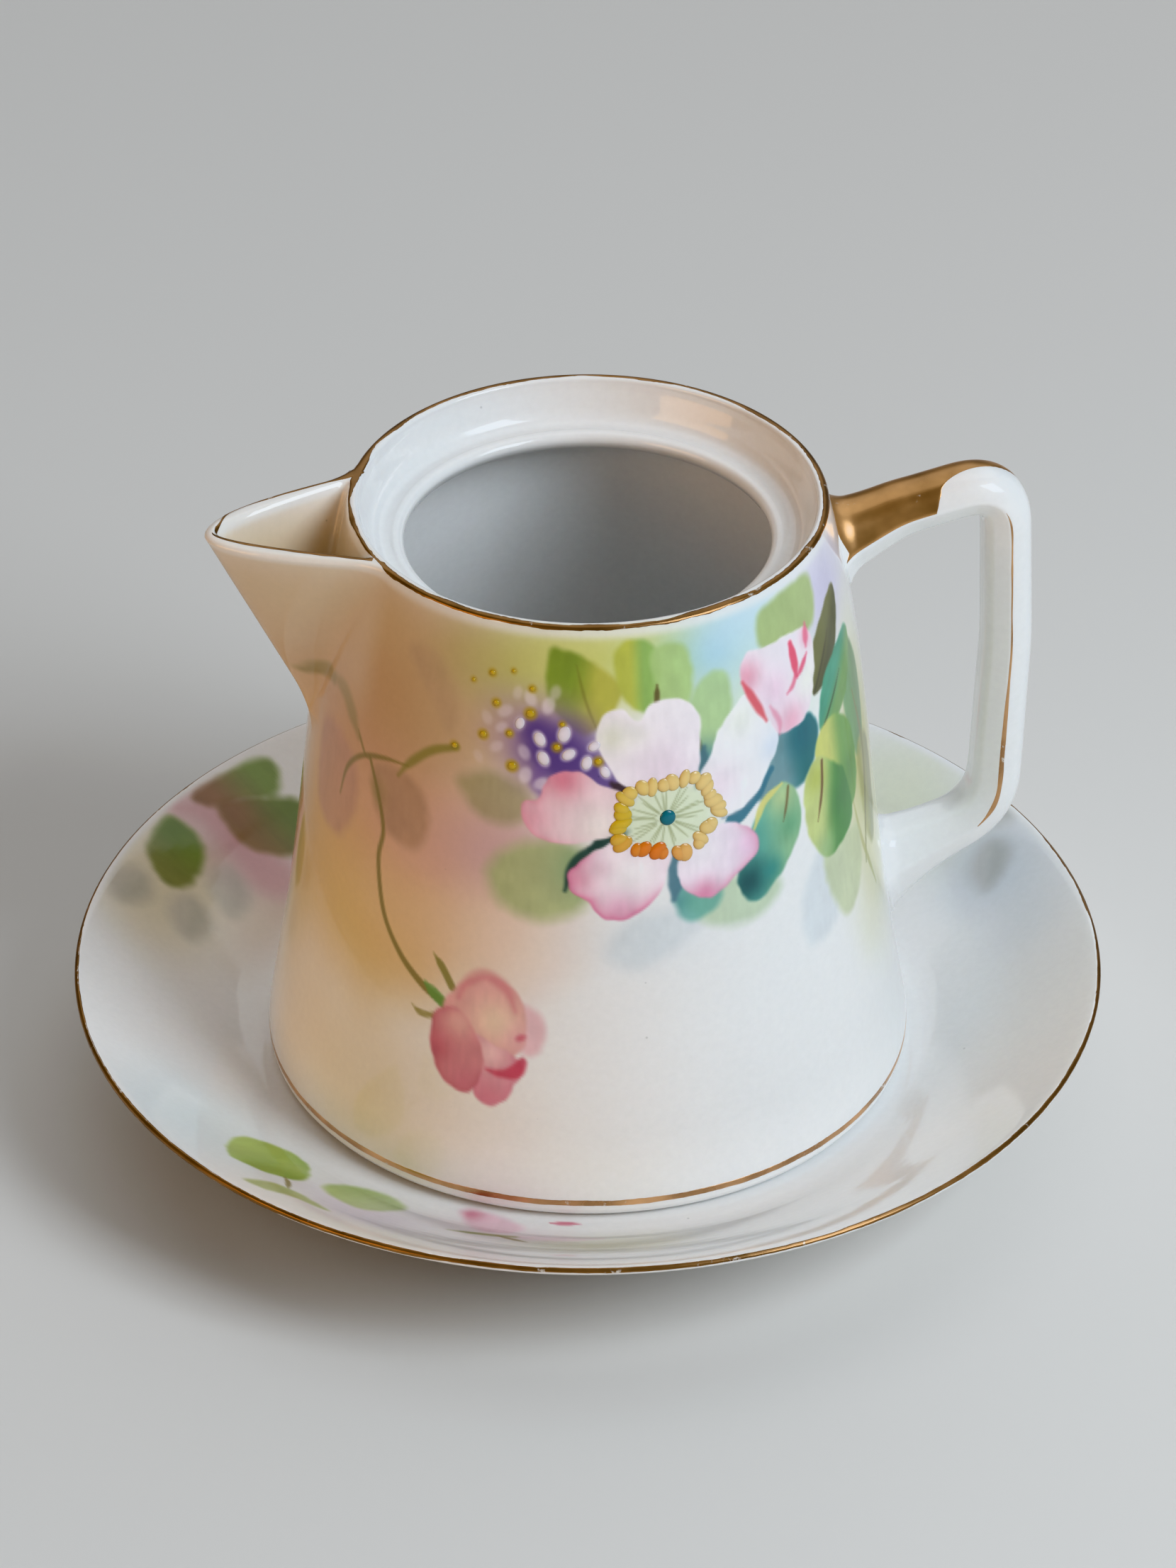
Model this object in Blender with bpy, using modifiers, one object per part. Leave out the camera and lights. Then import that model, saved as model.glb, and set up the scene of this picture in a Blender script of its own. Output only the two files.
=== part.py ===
"""Porcelain cream jug on its underplate.

Frame: metres, +Z up, origin at the centre of the underplate's foot ring, in the plane it
rests on. The handle points along +X and the spout along -X.
"""
import math

import bmesh
import bpy
from mathutils import Vector

MM = 0.001
GAP = 0.3 * MM                  # room between a piece and the neighbour it sits against
GILD_DEPTH = 0.4 * MM           # thickness of the bands and the panel that lie in a groove
SEGMENTS = 60                   # facets round every turned piece

# Underplate
PLATE_RADIUS = 75.4 * MM
PLATE_HEIGHT = 20.4 * MM
WELL_TOP = 7.0 * MM
WELL_UNDERSIDE = 3.6 * MM
RING_OUTER = 45.0 * MM
RING_INNER = 42.0 * MM
PLATE_LIP_RADIUS = 0.35 * MM
PLATE_GILD_OUTER = 74.7 * MM
PLATE_GILD_INNER = 73.7 * MM
PLATE_GILD_TOP = PLATE_HEIGHT - 0.1 * MM
# Radius and height pairs on the underside, from the lip in to the foot ring, and on the show side
PLATE_UNDER = [(74.6, 19.1), (66.0, 13.4), (56.0, 7.2), (49.0, 4.2), (45.6, 2.6)]
PLATE_RISE = [(48.0, 7.0), (56.0, 9.7), (66.0, 15.2), (73.4, 19.8)]

# Jug heights, measured from the table
JUG_FOOT = WELL_TOP + GAP
JUG_TOP = 99.4 * MM
RIM_GILD_THICKNESS = 0.5 * MM
ENVELOPE_TOP = JUG_TOP + 20.0 * MM
RIM_LAND = JUG_TOP - RIM_GILD_THICKNESS - GAP
LEDGE_TOP = 93.4 * MM
CAVITY_FLOOR = 11.4 * MM

# Jug radii
RIM_OUTER = 33.9 * MM
RIM_INNER = 32.4 * MM
LEDGE_OUTER = 30.0 * MM
MOUTH_RADIUS = 26.0 * MM
FOOT_OUTER = 45.6 * MM
FOOT_INNER = 41.0 * MM
FOOT_RECESS = 1.2 * MM
WALL = 2.9 * MM
FOOT_GILD_HEIGHT = 10.3 * MM
FOOT_GILD_WIDTH = 0.6 * MM
FOOT_CHAMFER = (46.3 * MM, 7.7 * MM)
FLOOR_CORNER = 6.0 * MM
SHOULDER = (33.0 * MM, 88.6 * MM)           # where the inside turns in under the lid's ledge
THROAT = 90.9 * MM                          # height where the underside of the ledge ends
BEAD = 1.1 * MM                             # radius of the ledge's edge
INSIDE_HEIGHTS = (35.0, 50.0, 65.0, 80.0, 87.0)
# Radius and height pairs that steer the outside of the body, from below the rim to the foot
BODY_GUIDE = [(34.0, 98.6), (35.6, 92.0), (38.0, 80.0), (40.0, 65.0), (41.6, 50.0),
              (43.4, 35.0), (45.2, 23.0), (46.7, 14.0), (47.2, 10.4), (46.8, 8.6)]

# Spout: a cone of V-shaped sections that grows from one point low on the body
SPOUT_ROOT = (39.6 * MM, 68.0 * MM)         # distance from the jug's axis, height
SPOUT_TIP = 55.2 * MM                       # distance of the tip from the jug's axis
SPOUT_HALF_WIDTH = 12.6 * MM                # at the rim
SPOUT_INNER_END = 31.0 * MM
SPOUT_NOSE = 2.6 * MM
SPOUT_BOW = 0.9 * MM                        # how far its sides swell out of straight
POCKET_ROOT = (39.2 * MM, 72.6 * MM)        # where the hollow inside the spout comes to a point
SPOUT_LEVELS = (0.03, 0.2, 0.4, 0.6, 0.8, 1.0)
POCKET_LEVELS = (0.06, 0.35, 0.7, 1.1)
SPOUT_WALL = 2.3 * MM
SPOUT_GILD_WIDTH = 1.4 * MM
POUR_HOLE_CENTRE = 36.0 * MM                # of the cutter, from the jug's axis
POUR_HOLE_DEPTH = 14.0 * MM
POUR_HOLE_HEIGHT = 82.6 * MM
POUR_HOLE_HALF = (2.4 * MM, 4.2 * MM)       # half its width, half its height

# Handle: a rounded path through these corners (distance from axis, height), and its section
HANDLE_CORNERS = [(31.0, 85.2), (45.0, 92.6), (60.2, 96.2), (61.0, 70.0), (59.7, 40.0), (39.0, 30.6)]
HANDLE_FILLETS = [0.0, 14.0, 5.5, 60.0, 10.0, 0.0]
HANDLE_STEP = 3.0 * MM                      # longest stretch between two sections
HANDLE_WIDTH = 8.8 * MM
HANDLE_CROWN = (4.3 * MM, 3.8 * MM)         # side ridges out to the crown, on the lower and top arm
HANDLE_INNER = 3.2 * MM                     # from the side ridges in to the flat inner face
HANDLE_INNER_WIDTH = 7.6 * MM
ARM_HEIGHTS = (40.0 * MM, 94.0 * MM)        # of the lower and the top arm
FLARE_LENGTH = 13.0 * MM
FLARE_GAIN = 0.7
PANEL_START = 38.6 * MM                     # the gilded panel's reach along the top arm
PANEL_END = 51.5 * MM
LINE_RADIUS = 0.25 * MM
LINE_TOP = 92.0 * MM                        # the side lines run down the handle between these heights
LINE_BOTTOM = 44.0 * MM
UPRIGHT_START = 55.0 * MM                   # points of the path beyond this are the upright
TOP_ARM_LOWEST = 85.0 * MM                  # points of the path above this are the top arm
WAIST = 0.2 * MM                            # height of the flat band along each side ridge
INNER_BEVEL = 0.5 * MM
CUTTER_REACH = 2.0 * MM                     # how far a cutter stands proud of what it cuts


# ---------------------------------------------------------------- scene and materials

def clear_scene():
    for item in list(bpy.data.objects):
        bpy.data.objects.remove(item, do_unlink=True)


def new_collection(name):
    collection = bpy.data.collections.new(name)
    bpy.context.scene.collection.children.link(collection)
    return collection


def principled(name, color, roughness, metallic=0.0, coat=0.0):
    material = bpy.data.materials.new(name)
    material.use_nodes = True
    shader = material.node_tree.nodes["Principled BSDF"]
    shader.inputs["Base Color"].default_value = (*color, 1.0)
    shader.inputs["Roughness"].default_value = roughness
    shader.inputs["Metallic"].default_value = metallic
    shader.inputs["Coat Weight"].default_value = coat
    return material


def add_object(name, mesh, collection, material=None):
    item = bpy.data.objects.new(name, mesh)
    collection.objects.link(item)
    if material:
        mesh.materials.append(material)
    return item


def make_cutter(item):
    item.hide_render = True
    item.display_type = "WIRE"


def cut(item, cutter):
    boolean = item.modifiers.new("cut_" + cutter.name, "BOOLEAN")
    boolean.operation = "DIFFERENCE"
    boolean.object = cutter


def smooth(mesh):
    mesh.shade_smooth()
    mesh.set_sharp_from_angle(angle=math.radians(35.0))


# ---------------------------------------------------------------- outlines

def in_metres(pairs):
    return [(a * MM, b * MM) for a, b in pairs]


def catmull_rom(points, steps):
    """Smooth run through all the points, with the given number of steps in each span."""
    ends = [2 * Vector(points[0]) - Vector(points[1])] + [Vector(p) for p in points]
    ends.append(2 * Vector(points[-1]) - Vector(points[-2]))
    run = []
    for i in range(1, len(ends) - 2):
        a, b, c, d = ends[i - 1:i + 3]
        for k in range(steps):
            t = k / steps
            run.append(0.5 * (2 * b + (c - a) * t + (2 * a - 5 * b + 4 * c - d) * t ** 2
                              + (3 * b - a - 3 * c + d) * t ** 3))
    run.append(ends[-2])
    return [tuple(p) for p in run]


def arc(centre, radius, start, end, steps):
    """Points on a circle from one angle to another, both in degrees."""
    points = []
    for k in range(steps + 1):
        angle = math.radians(start + (end - start) * k / steps)
        points.append((centre[0] + radius * math.cos(angle), centre[1] + radius * math.sin(angle)))
    return points


def body_outline(offset=0.0):
    """Outside of the jug from under the rim down to the foot, moved out by an offset."""
    return [(r + offset, z) for r, z in in_metres(BODY_GUIDE)]


def body_radius(height, offset=0.0):
    """Outer radius of the jug at a height."""
    run = body_outline(offset)
    for (r_high, z_high), (r_low, z_low) in zip(run, run[1:]):
        if z_low <= height <= z_high:
            return r_low + (r_high - r_low) * (height - z_low) / (z_high - z_low)
    return run[0][0] if height > run[0][1] else run[-1][0]


def rounded_path(corners, fillets, steps=6):
    """Polyline through the corners with every inner corner turned by an arc-like bend."""
    path = [Vector(corners[0])]
    for before, corner, after, radius in zip(corners, corners[1:], corners[2:], fillets[1:]):
        corner = Vector(corner)
        back = (Vector(before) - corner).normalized()
        ahead = (Vector(after) - corner).normalized()
        half_turn = math.acos(max(-1.0, min(1.0, back.dot(ahead)))) / 2
        reach = radius / math.tan(half_turn)
        start = corner + back * reach
        end = corner + ahead * reach
        for k in range(steps + 1):
            t = k / steps
            path.append(start * (1 - t) ** 2 + corner * 2 * t * (1 - t) + end * t ** 2)
    path.append(Vector(corners[-1]))
    return path


def split_long_steps(path, longest):
    """The same path with extra points, so that no step is longer than the given length."""
    finer = [path[0]]
    for start, end in zip(path, path[1:]):
        count = max(1, math.ceil((end - start).length / longest))
        finer += [start.lerp(end, k / count) for k in range(1, count + 1)]
    return finer


# ---------------------------------------------------------------- mesh makers

def turned(name, profile, collection, material=None, closed=False):
    """Piece of revolution about the Z axis from (radius, height) points, outer side first."""
    mesh = bpy.data.meshes.new(name)
    count = len(profile)
    edges = [(i, i + 1) for i in range(count - 1)]
    if closed:
        edges.append((count - 1, 0))
    mesh.from_pydata([(r, 0.0, z) for r, z in profile], edges, [])
    item = add_object(name, mesh, collection, material)
    screw = item.modifiers.new("turn", "SCREW")
    screw.axis = "Z"
    screw.angle = 2 * math.pi
    screw.steps = SEGMENTS
    screw.render_steps = SEGMENTS
    screw.use_merge_vertices = True
    screw.merge_threshold = 0.00001
    screw.use_smooth_shade = True
    return item


def ring(name, inner, outer, bottom, top, collection, material):
    """Flat-sided hoop."""
    profile = [(outer, top), (outer, bottom), (inner, bottom), (inner, top)]
    return turned(name, profile, collection, material, closed=True)


def loft(name, sections, collection, material=None):
    """Closed skin over a run of sections that have the same number of points."""
    shape = bmesh.new()
    rows = [[shape.verts.new(point) for point in section] for section in sections]
    count = len(rows[0])
    for low, high in zip(rows, rows[1:]):
        for k in range(count):
            j = (k + 1) % count
            shape.faces.new((low[k], low[j], high[j], high[k]))
    shape.faces.new(list(reversed(rows[0])))
    shape.faces.new(rows[-1])
    bmesh.ops.recalc_face_normals(shape, faces=shape.faces)
    mesh = bpy.data.meshes.new(name)
    shape.to_mesh(mesh)
    shape.free()
    smooth(mesh)
    return add_object(name, mesh, collection, material)


# ---------------------------------------------------------------- underplate

def make_underplate(collection, porcelain, gold):
    land = PLATE_GILD_TOP - GILD_DEPTH - GAP
    centre = (PLATE_RADIUS - PLATE_LIP_RADIUS, PLATE_HEIGHT - PLATE_LIP_RADIUS)
    lip = arc(centre, PLATE_LIP_RADIUS, 90, -40, 5)
    under = catmull_rom(in_metres(PLATE_UNDER), 2)
    foot = [(RING_OUTER, 0.4 * MM), (RING_OUTER - 0.4 * MM, 0.0), (RING_INNER + 0.4 * MM, 0.0),
            (RING_INNER, 0.4 * MM), (RING_INNER - 0.8 * MM, WELL_UNDERSIDE - 0.6 * MM),
            (RING_INNER - 2.2 * MM, WELL_UNDERSIDE), (0.0, WELL_UNDERSIDE)]
    rise = catmull_rom(in_metres(PLATE_RISE), 3)
    groove = [(PLATE_GILD_INNER - GAP, land), (PLATE_GILD_OUTER + GAP, land)]
    profile = [(0.0, WELL_TOP)] + rise + groove + lip + under + foot
    turned("underplate", profile, collection, porcelain)
    ring("underplate_gilding", PLATE_GILD_INNER, PLATE_GILD_OUTER, PLATE_GILD_TOP - GILD_DEPTH,
         PLATE_GILD_TOP, collection, gold)


# ---------------------------------------------------------------- jug body

def jug_profile():
    """Outline from the middle of the cavity floor, up the inside, and down the outside."""
    gild_low = FOOT_GILD_HEIGHT - FOOT_GILD_WIDTH / 2 - GAP
    gild_high = FOOT_GILD_HEIGHT + FOOT_GILD_WIDTH / 2 + GAP
    land = body_radius(FOOT_GILD_HEIGHT) - GILD_DEPTH - GAP
    heights = [z * MM for z in INSIDE_HEIGHTS]
    floor_edge = body_radius(CAVITY_FLOOR + FLOOR_CORNER) - WALL
    inside = [(0.0, CAVITY_FLOOR)]
    inside += arc((floor_edge - FLOOR_CORNER, CAVITY_FLOOR + FLOOR_CORNER), FLOOR_CORNER, -90, 0, 4)
    inside += [(body_radius(z) - WALL, z) for z in heights]
    inside += [SHOULDER, (MOUTH_RADIUS + 0.4 * MM, THROAT)]
    bead = arc((MOUTH_RADIUS + BEAD, LEDGE_TOP - BEAD), BEAD, 190, 90, 3)
    gallery = [(LEDGE_OUTER - 0.4 * MM, LEDGE_TOP), (LEDGE_OUTER + 0.4 * MM, LEDGE_TOP + 0.7 * MM)]
    gallery += [(RIM_INNER - 0.4 * MM, RIM_LAND - 1.5 * MM), (RIM_INNER, RIM_LAND)]
    outside = [p for p in body_outline() if p[1] > gild_high + 0.1 * MM]
    groove = [(body_radius(gild_high), gild_high), (land, gild_high), (land, gild_low),
              (body_radius(gild_low), gild_low)]
    foot = [body_outline()[-1], FOOT_CHAMFER, (FOOT_OUTER, JUG_FOOT),
            (FOOT_INNER, JUG_FOOT), (FOOT_INNER - 0.8 * MM, JUG_FOOT + FOOT_RECESS),
            (0.0, JUG_FOOT + FOOT_RECESS)]
    return inside + bead + gallery + outside + groove + foot


def body_envelope(name, collection):
    """Solid that fills the jug's outside plus the fitting gap, used to trim what joins it."""
    run = body_outline(GAP)
    profile = [(0.0, ENVELOPE_TOP), (run[0][0], ENVELOPE_TOP)] + run + [(0.0, run[-1][1])]
    envelope = turned(name, profile, collection)
    make_cutter(envelope)
    return envelope


def pour_hole(collection):
    """Upright oval hole through the wall behind the spout."""
    mesh = bpy.data.meshes.new("pour_hole_cutter")
    shape = bmesh.new()
    bmesh.ops.create_cone(shape, cap_ends=True, segments=24, radius1=1.0, radius2=1.0, depth=1.0)
    turn = ((0, 0, -1), (0, 1, 0), (1, 0, 0))
    for vertex in shape.verts:
        x, y, z = (sum(row[i] * vertex.co[i] for i in range(3)) for row in turn)
        vertex.co = (x * POUR_HOLE_DEPTH, y * POUR_HOLE_HALF[0], z * POUR_HOLE_HALF[1])
    bmesh.ops.recalc_face_normals(shape, faces=shape.faces)
    shape.to_mesh(mesh)
    shape.free()
    cutter = add_object("pour_hole_cutter", mesh, collection)
    cutter.location = (-POUR_HOLE_CENTRE, 0.0, POUR_HOLE_HEIGHT)
    make_cutter(cutter)
    return cutter


def make_jug_body(collection, cutters, porcelain, gold):
    body = turned("jug_body", jug_profile(), collection, porcelain)
    cut(body, pour_hole(cutters))
    ring("rim_gilding", RIM_INNER + 0.1 * MM, RIM_OUTER, JUG_TOP - RIM_GILD_THICKNESS, JUG_TOP,
         collection, gold)
    surface = body_radius(FOOT_GILD_HEIGHT)
    ring("foot_gilding", surface - GILD_DEPTH, surface, FOOT_GILD_HEIGHT - FOOT_GILD_WIDTH / 2,
         FOOT_GILD_HEIGHT + FOOT_GILD_WIDTH / 2, collection, gold)


# ---------------------------------------------------------------- spout

def lip_outline(inset=0.0):
    """Plan of the spout's mouth: a V with a round nose, from one side of the rim to the other."""
    nose = max(SPOUT_NOSE - inset, 0.5 * MM)
    centre = SPOUT_TIP - SPOUT_NOSE
    tip = centre + nose
    half = SPOUT_HALF_WIDTH - inset * 1.15
    nose_width = nose * 0.95
    side = []
    steps = 7
    for k in range(steps):
        t = k / steps
        x = SPOUT_INNER_END + (centre + nose * 0.3 - SPOUT_INNER_END) * t
        bow = SPOUT_BOW * math.sin(math.pi * t)
        side.append((x, half + (nose_width - half) * t + bow * (1 - inset / (4 * MM))))
    round_nose = [(centre + nose * math.cos(a), nose * math.sin(a))
                  for a in (math.radians(70 - 20 * k) for k in range(8))]
    far = side + round_nose[:4]
    near = [(x, -y) for x, y in reversed(far)]
    return far + [(tip, 0.0)] + near


def spout_section(outline, height, root):
    """The mouth's plan drawn in towards the root point, at a height; the spout points to -X."""
    share = (height - root[1]) / (JUG_TOP - root[1])
    return [(-(root[0] + (x - root[0]) * share), y * share, height) for x, y in outline]


def make_spout(collection, cutters, envelope, porcelain, gold):
    top = RIM_LAND
    heights = [SPOUT_ROOT[1] + (top - SPOUT_ROOT[1]) * t for t in SPOUT_LEVELS]
    outer = lip_outline()
    spout = loft("spout", [spout_section(outer, z, SPOUT_ROOT) for z in heights], collection,
                 porcelain)
    cut(spout, envelope)
    levels = [POCKET_ROOT[1] + (JUG_TOP - POCKET_ROOT[1]) * t for t in POCKET_LEVELS]
    inner = lip_outline(SPOUT_WALL)
    pocket = loft("pocket_cutter", [spout_section(inner, z, POCKET_ROOT) for z in levels], cutters)
    make_cutter(pocket)
    cut(spout, pocket)
    make_spout_gilding(collection, cutters, envelope, gold)


def make_spout_gilding(collection, cutters, envelope, gold):
    """Thin band on top of the lip, open where it meets the rim."""
    low = JUG_TOP - RIM_GILD_THICKNESS
    margin = (SPOUT_WALL - SPOUT_GILD_WIDTH) / 2
    band = loft("spout_gilding", [[(-x, y, z) for x, y in lip_outline(margin)]
                                  for z in (low, JUG_TOP)], collection, gold)
    inner = lip_outline(margin + SPOUT_GILD_WIDTH)
    opening = loft("band_cutter", [[(-x - (x < SPOUT_INNER_END + MM) * -3 * MM, y, z)
                                    for x, y in inner] for z in (low - MM, JUG_TOP + MM)], cutters)
    make_cutter(opening)
    cut(band, opening)
    cut(band, envelope)


# ---------------------------------------------------------------- handle

def handle_path():
    fillets = [radius * MM for radius in HANDLE_FILLETS]
    return split_long_steps(rounded_path(in_metres(HANDLE_CORNERS), fillets), HANDLE_STEP)


def path_frames(path):
    """Each point with the outward normal of the path there, in the plane of the handle."""
    frames = []
    for i, point in enumerate(path):
        ahead = path[min(i + 1, len(path) - 1)] - path[max(i - 1, 0)]
        normal = Vector((-ahead.y, ahead.x)).normalized()
        frames.append((point, normal))
    return frames


def handle_section(point, grow=0.0):
    """Section as (out, across) pairs: a domed crown, two side ridges and a flat inner face."""
    flare = end_flare(point)
    rise = (point.y - ARM_HEIGHTS[0]) / (ARM_HEIGHTS[1] - ARM_HEIGHTS[0])
    rise = max(0.0, min(1.0, rise))
    crown_here = HANDLE_CROWN[0] + (HANDLE_CROWN[1] - HANDLE_CROWN[0]) * rise
    half = HANDLE_WIDTH / 2 * (1 + 0.45 * flare) + grow
    crown = crown_here * (1 + flare) + grow
    inner = HANDLE_INNER * (1 + flare) + grow
    flat = HANDLE_INNER_WIDTH / 2 * (1 + 0.45 * flare) + grow
    dome = [(crown * math.sin(a) ** 0.9, half * math.cos(a))
            for a in (math.pi * k / 8 for k in range(1, 8))]
    ridges = [(WAIST, -half), (-WAIST, -half)]
    inside = [(-inner * 0.85, -flat), (-inner, -flat + INNER_BEVEL), (-inner, flat - INNER_BEVEL),
              (-inner * 0.85, flat)]
    return [(WAIST, half)] + dome + ridges + inside + [(-WAIST, half)]


def end_flare(point):
    """How far the section swells where the arm runs into the body, from 0 to FLARE_GAIN."""
    clear = point.x - body_radius(point.y)
    nearness = max(0.0, 1.0 - max(clear, 0.0) / FLARE_LENGTH)
    return FLARE_GAIN * nearness ** 2


def placed(point, normal, section):
    """Section points put in the world, around a point of the path."""
    return [(point.x + normal.x * out, across, point.y + normal.y * out) for out, across in section]


def make_handle(collection, cutters, envelope, porcelain, gold):
    frames = path_frames(handle_path())
    sections = [placed(p, n, handle_section(p)) for p, n in frames]
    handle = loft("handle", sections, collection, porcelain)
    cut(handle, envelope)
    make_panel(collection, cutters, frames, handle, gold)
    make_side_lines(collection, cutters, frames, handle, gold)


def panel_section(point, grow):
    """Crown-side half of the handle's section as a thin bent strip."""
    outer = handle_section(point, grow)[1:8]
    inner = handle_section(point, grow - GILD_DEPTH)[1:8]
    return outer + list(reversed(inner))


def make_panel(collection, cutters, frames, handle, gold):
    """Gilded panel over the top arm, set into a rebate of its own depth plus the gap."""
    top_arm = [(p, n) for p, n in frames if p.y > TOP_ARM_LOWEST]
    inside = [(p, n) for p, n in top_arm if PANEL_START <= p.x <= PANEL_END]
    strip = [placed(p, n, panel_section(p, 0.0)) for p, n in inside]
    loft("handle_panel_gilding", strip, collection, gold)
    (first, first_normal), (last, last_normal) = inside[0], inside[-1]
    along = Vector((first_normal.y, -first_normal.x))
    beyond = Vector((last_normal.y, -last_normal.x))
    run = [(first - along * GAP, first_normal)] + inside + [(last + beyond * GAP, last_normal)]
    block = []
    for point, normal in run:
        outer = handle_section(point, CUTTER_REACH)[0:9]
        inner = handle_section(point, -GILD_DEPTH - GAP)[0:9]
        block.append(placed(point, normal, outer + list(reversed(inner))))
    cutter = loft("panel_cutter", block, cutters)
    make_cutter(cutter)
    cut(handle, cutter)


def wire(name, points, radius, collection, material=None):
    """Round wire through the points, turned into a mesh with its ends closed."""
    curve = bpy.data.curves.new(name, "CURVE")
    curve.dimensions = "3D"
    curve.bevel_depth = radius
    curve.bevel_resolution = 2
    curve.use_fill_caps = True
    spline = curve.splines.new("POLY")
    spline.points.add(len(points) - 1)
    for slot, point in zip(spline.points, points):
        slot.co = (*point, 1.0)
    source = bpy.data.objects.new(name + "_curve", curve)
    collection.objects.link(source)
    evaluated = source.evaluated_get(bpy.context.evaluated_depsgraph_get())
    mesh = bpy.data.meshes.new_from_object(evaluated)
    mesh.name = name
    shape = bmesh.new()
    shape.from_mesh(mesh)
    bmesh.ops.remove_doubles(shape, verts=shape.verts, dist=0.00001)
    bmesh.ops.recalc_face_normals(shape, faces=shape.faces)
    shape.to_mesh(mesh)
    shape.free()
    mesh.materials.clear()
    item = add_object(name, mesh, collection, material)
    item.matrix_world = source.matrix_world
    bpy.data.objects.remove(source, do_unlink=True)
    smooth(mesh)
    return item


def make_side_lines(collection, cutters, frames, handle, gold):
    """One gilt line down each side ridge of the handle, in a shallow groove."""
    upright = [(p, n) for p, n in frames if LINE_BOTTOM <= p.y <= LINE_TOP and p.x > UPRIGHT_START]
    for side, word in ((-1, "left"), (1, "right")):
        points = [(p.x, side * HANDLE_WIDTH / 2, p.y) for p, n in upright]
        wire("handle_line_gilding_" + word, points, LINE_RADIUS, collection, gold)
        first, last = Vector(points[0]), Vector(points[-1])
        longer = [first + (first - Vector(points[1])).normalized() * 2 * GAP] + points
        longer += [last + (last - Vector(points[-2])).normalized() * 2 * GAP]
        groove = wire("line_cutter_" + word, longer, LINE_RADIUS + GAP, cutters)
        make_cutter(groove)
        cut(handle, groove)


# ---------------------------------------------------------------- assembly

def main():
    clear_scene()
    parts = new_collection("cream_jug")
    cutters = new_collection("cutters")
    glazed = principled("glazed_porcelain", (0.86, 0.83, 0.76), 0.12, coat=0.6)
    painted = principled("painted_porcelain", (0.84, 0.76, 0.64), 0.12, coat=0.6)
    plain = principled("handle_porcelain", (0.88, 0.87, 0.84), 0.1, coat=0.6)
    plate = principled("underplate_porcelain", (0.80, 0.80, 0.75), 0.14, coat=0.6)
    gold = principled("antique_gilding", (0.42, 0.25, 0.11), 0.32, metallic=0.9)
    envelope = body_envelope("body_envelope_cutter", cutters)
    make_underplate(parts, plate, gold)
    make_jug_body(parts, cutters, painted, gold)
    make_spout(parts, cutters, envelope, glazed, gold)
    make_handle(parts, cutters, envelope, plain, gold)


main()
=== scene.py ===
"""Looks of the porcelain cream jug and its underplate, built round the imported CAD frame.

Shapes are worked out in millimetres in the row frame and written to meshes in metres.
Azimuths are degrees round +Z from +X: the handle is at 0, the spout at 180 and the main
painting faces 270. A profile or section line is an array of rows (radius, height), and a
grid of them is rows x columns x 2, with one column for each azimuth.
"""
import math

import bmesh
import bpy
import numpy as np
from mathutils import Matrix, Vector


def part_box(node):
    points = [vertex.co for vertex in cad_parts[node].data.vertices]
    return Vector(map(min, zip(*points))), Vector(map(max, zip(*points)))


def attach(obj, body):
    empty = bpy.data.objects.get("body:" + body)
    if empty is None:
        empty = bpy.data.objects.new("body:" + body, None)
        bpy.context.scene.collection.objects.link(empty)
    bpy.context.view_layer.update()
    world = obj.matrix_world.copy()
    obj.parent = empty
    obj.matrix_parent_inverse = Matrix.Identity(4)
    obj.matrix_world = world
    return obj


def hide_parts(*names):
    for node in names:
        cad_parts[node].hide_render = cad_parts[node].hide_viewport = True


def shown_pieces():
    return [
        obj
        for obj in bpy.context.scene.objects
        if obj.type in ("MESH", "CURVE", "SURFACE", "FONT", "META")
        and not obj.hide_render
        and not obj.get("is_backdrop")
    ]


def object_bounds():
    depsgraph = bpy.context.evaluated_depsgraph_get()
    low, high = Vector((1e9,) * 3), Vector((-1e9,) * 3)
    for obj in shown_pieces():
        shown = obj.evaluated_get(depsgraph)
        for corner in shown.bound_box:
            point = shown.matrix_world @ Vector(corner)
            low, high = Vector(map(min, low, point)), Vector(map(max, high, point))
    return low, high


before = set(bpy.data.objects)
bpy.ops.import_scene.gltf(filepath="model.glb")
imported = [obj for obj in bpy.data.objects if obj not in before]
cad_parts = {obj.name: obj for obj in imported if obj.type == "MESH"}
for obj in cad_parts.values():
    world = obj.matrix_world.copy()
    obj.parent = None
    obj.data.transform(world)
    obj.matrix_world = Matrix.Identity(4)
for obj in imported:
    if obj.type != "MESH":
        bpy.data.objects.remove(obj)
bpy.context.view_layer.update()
MM = 0.001
MERGES_PER_MM = 2000        # points closer than one part of this become one

# ---------------------------------------------------------------- sizes taken from the frame

BODY_LOW, BODY_HIGH = (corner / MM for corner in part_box("jug_body"))
RIM_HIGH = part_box("rim_gilding")[1] / MM
LIP_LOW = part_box("spout_gilding")[0] / MM
PLATE_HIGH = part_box("underplate")[1] / MM

FOOT_Z = BODY_LOW.z
TOP_Z = RIM_HIGH.z
FOOT_R = BODY_HIGH.y
RIM_R = RIM_HIGH.y
TIP_R = -LIP_LOW.x
PLATE_R = PLATE_HIGH.y
PLATE_Z = PLATE_HIGH.z
WELL_Z = FOOT_Z - 0.3

# Jug walls
RIM_EDGE = 0.75             # rounding of the rim's outer edge
RIM_INNER_R = RIM_R - 1.35
LEDGE_R = 30.0
LEDGE_Z = TOP_Z - 6.0
MOUTH_R = 26.0
WALL = 2.9
FLOOR_Z = FOOT_Z + 4.1
FLOOR_BEND = 6.0            # radius between the cavity's wall and floor
FOOT_FLAT_R = FOOT_R - 1.6
FOOT_INNER_R = FOOT_R - 6.2
FOOT_LINE_Z = FOOT_Z + 2.9

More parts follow.
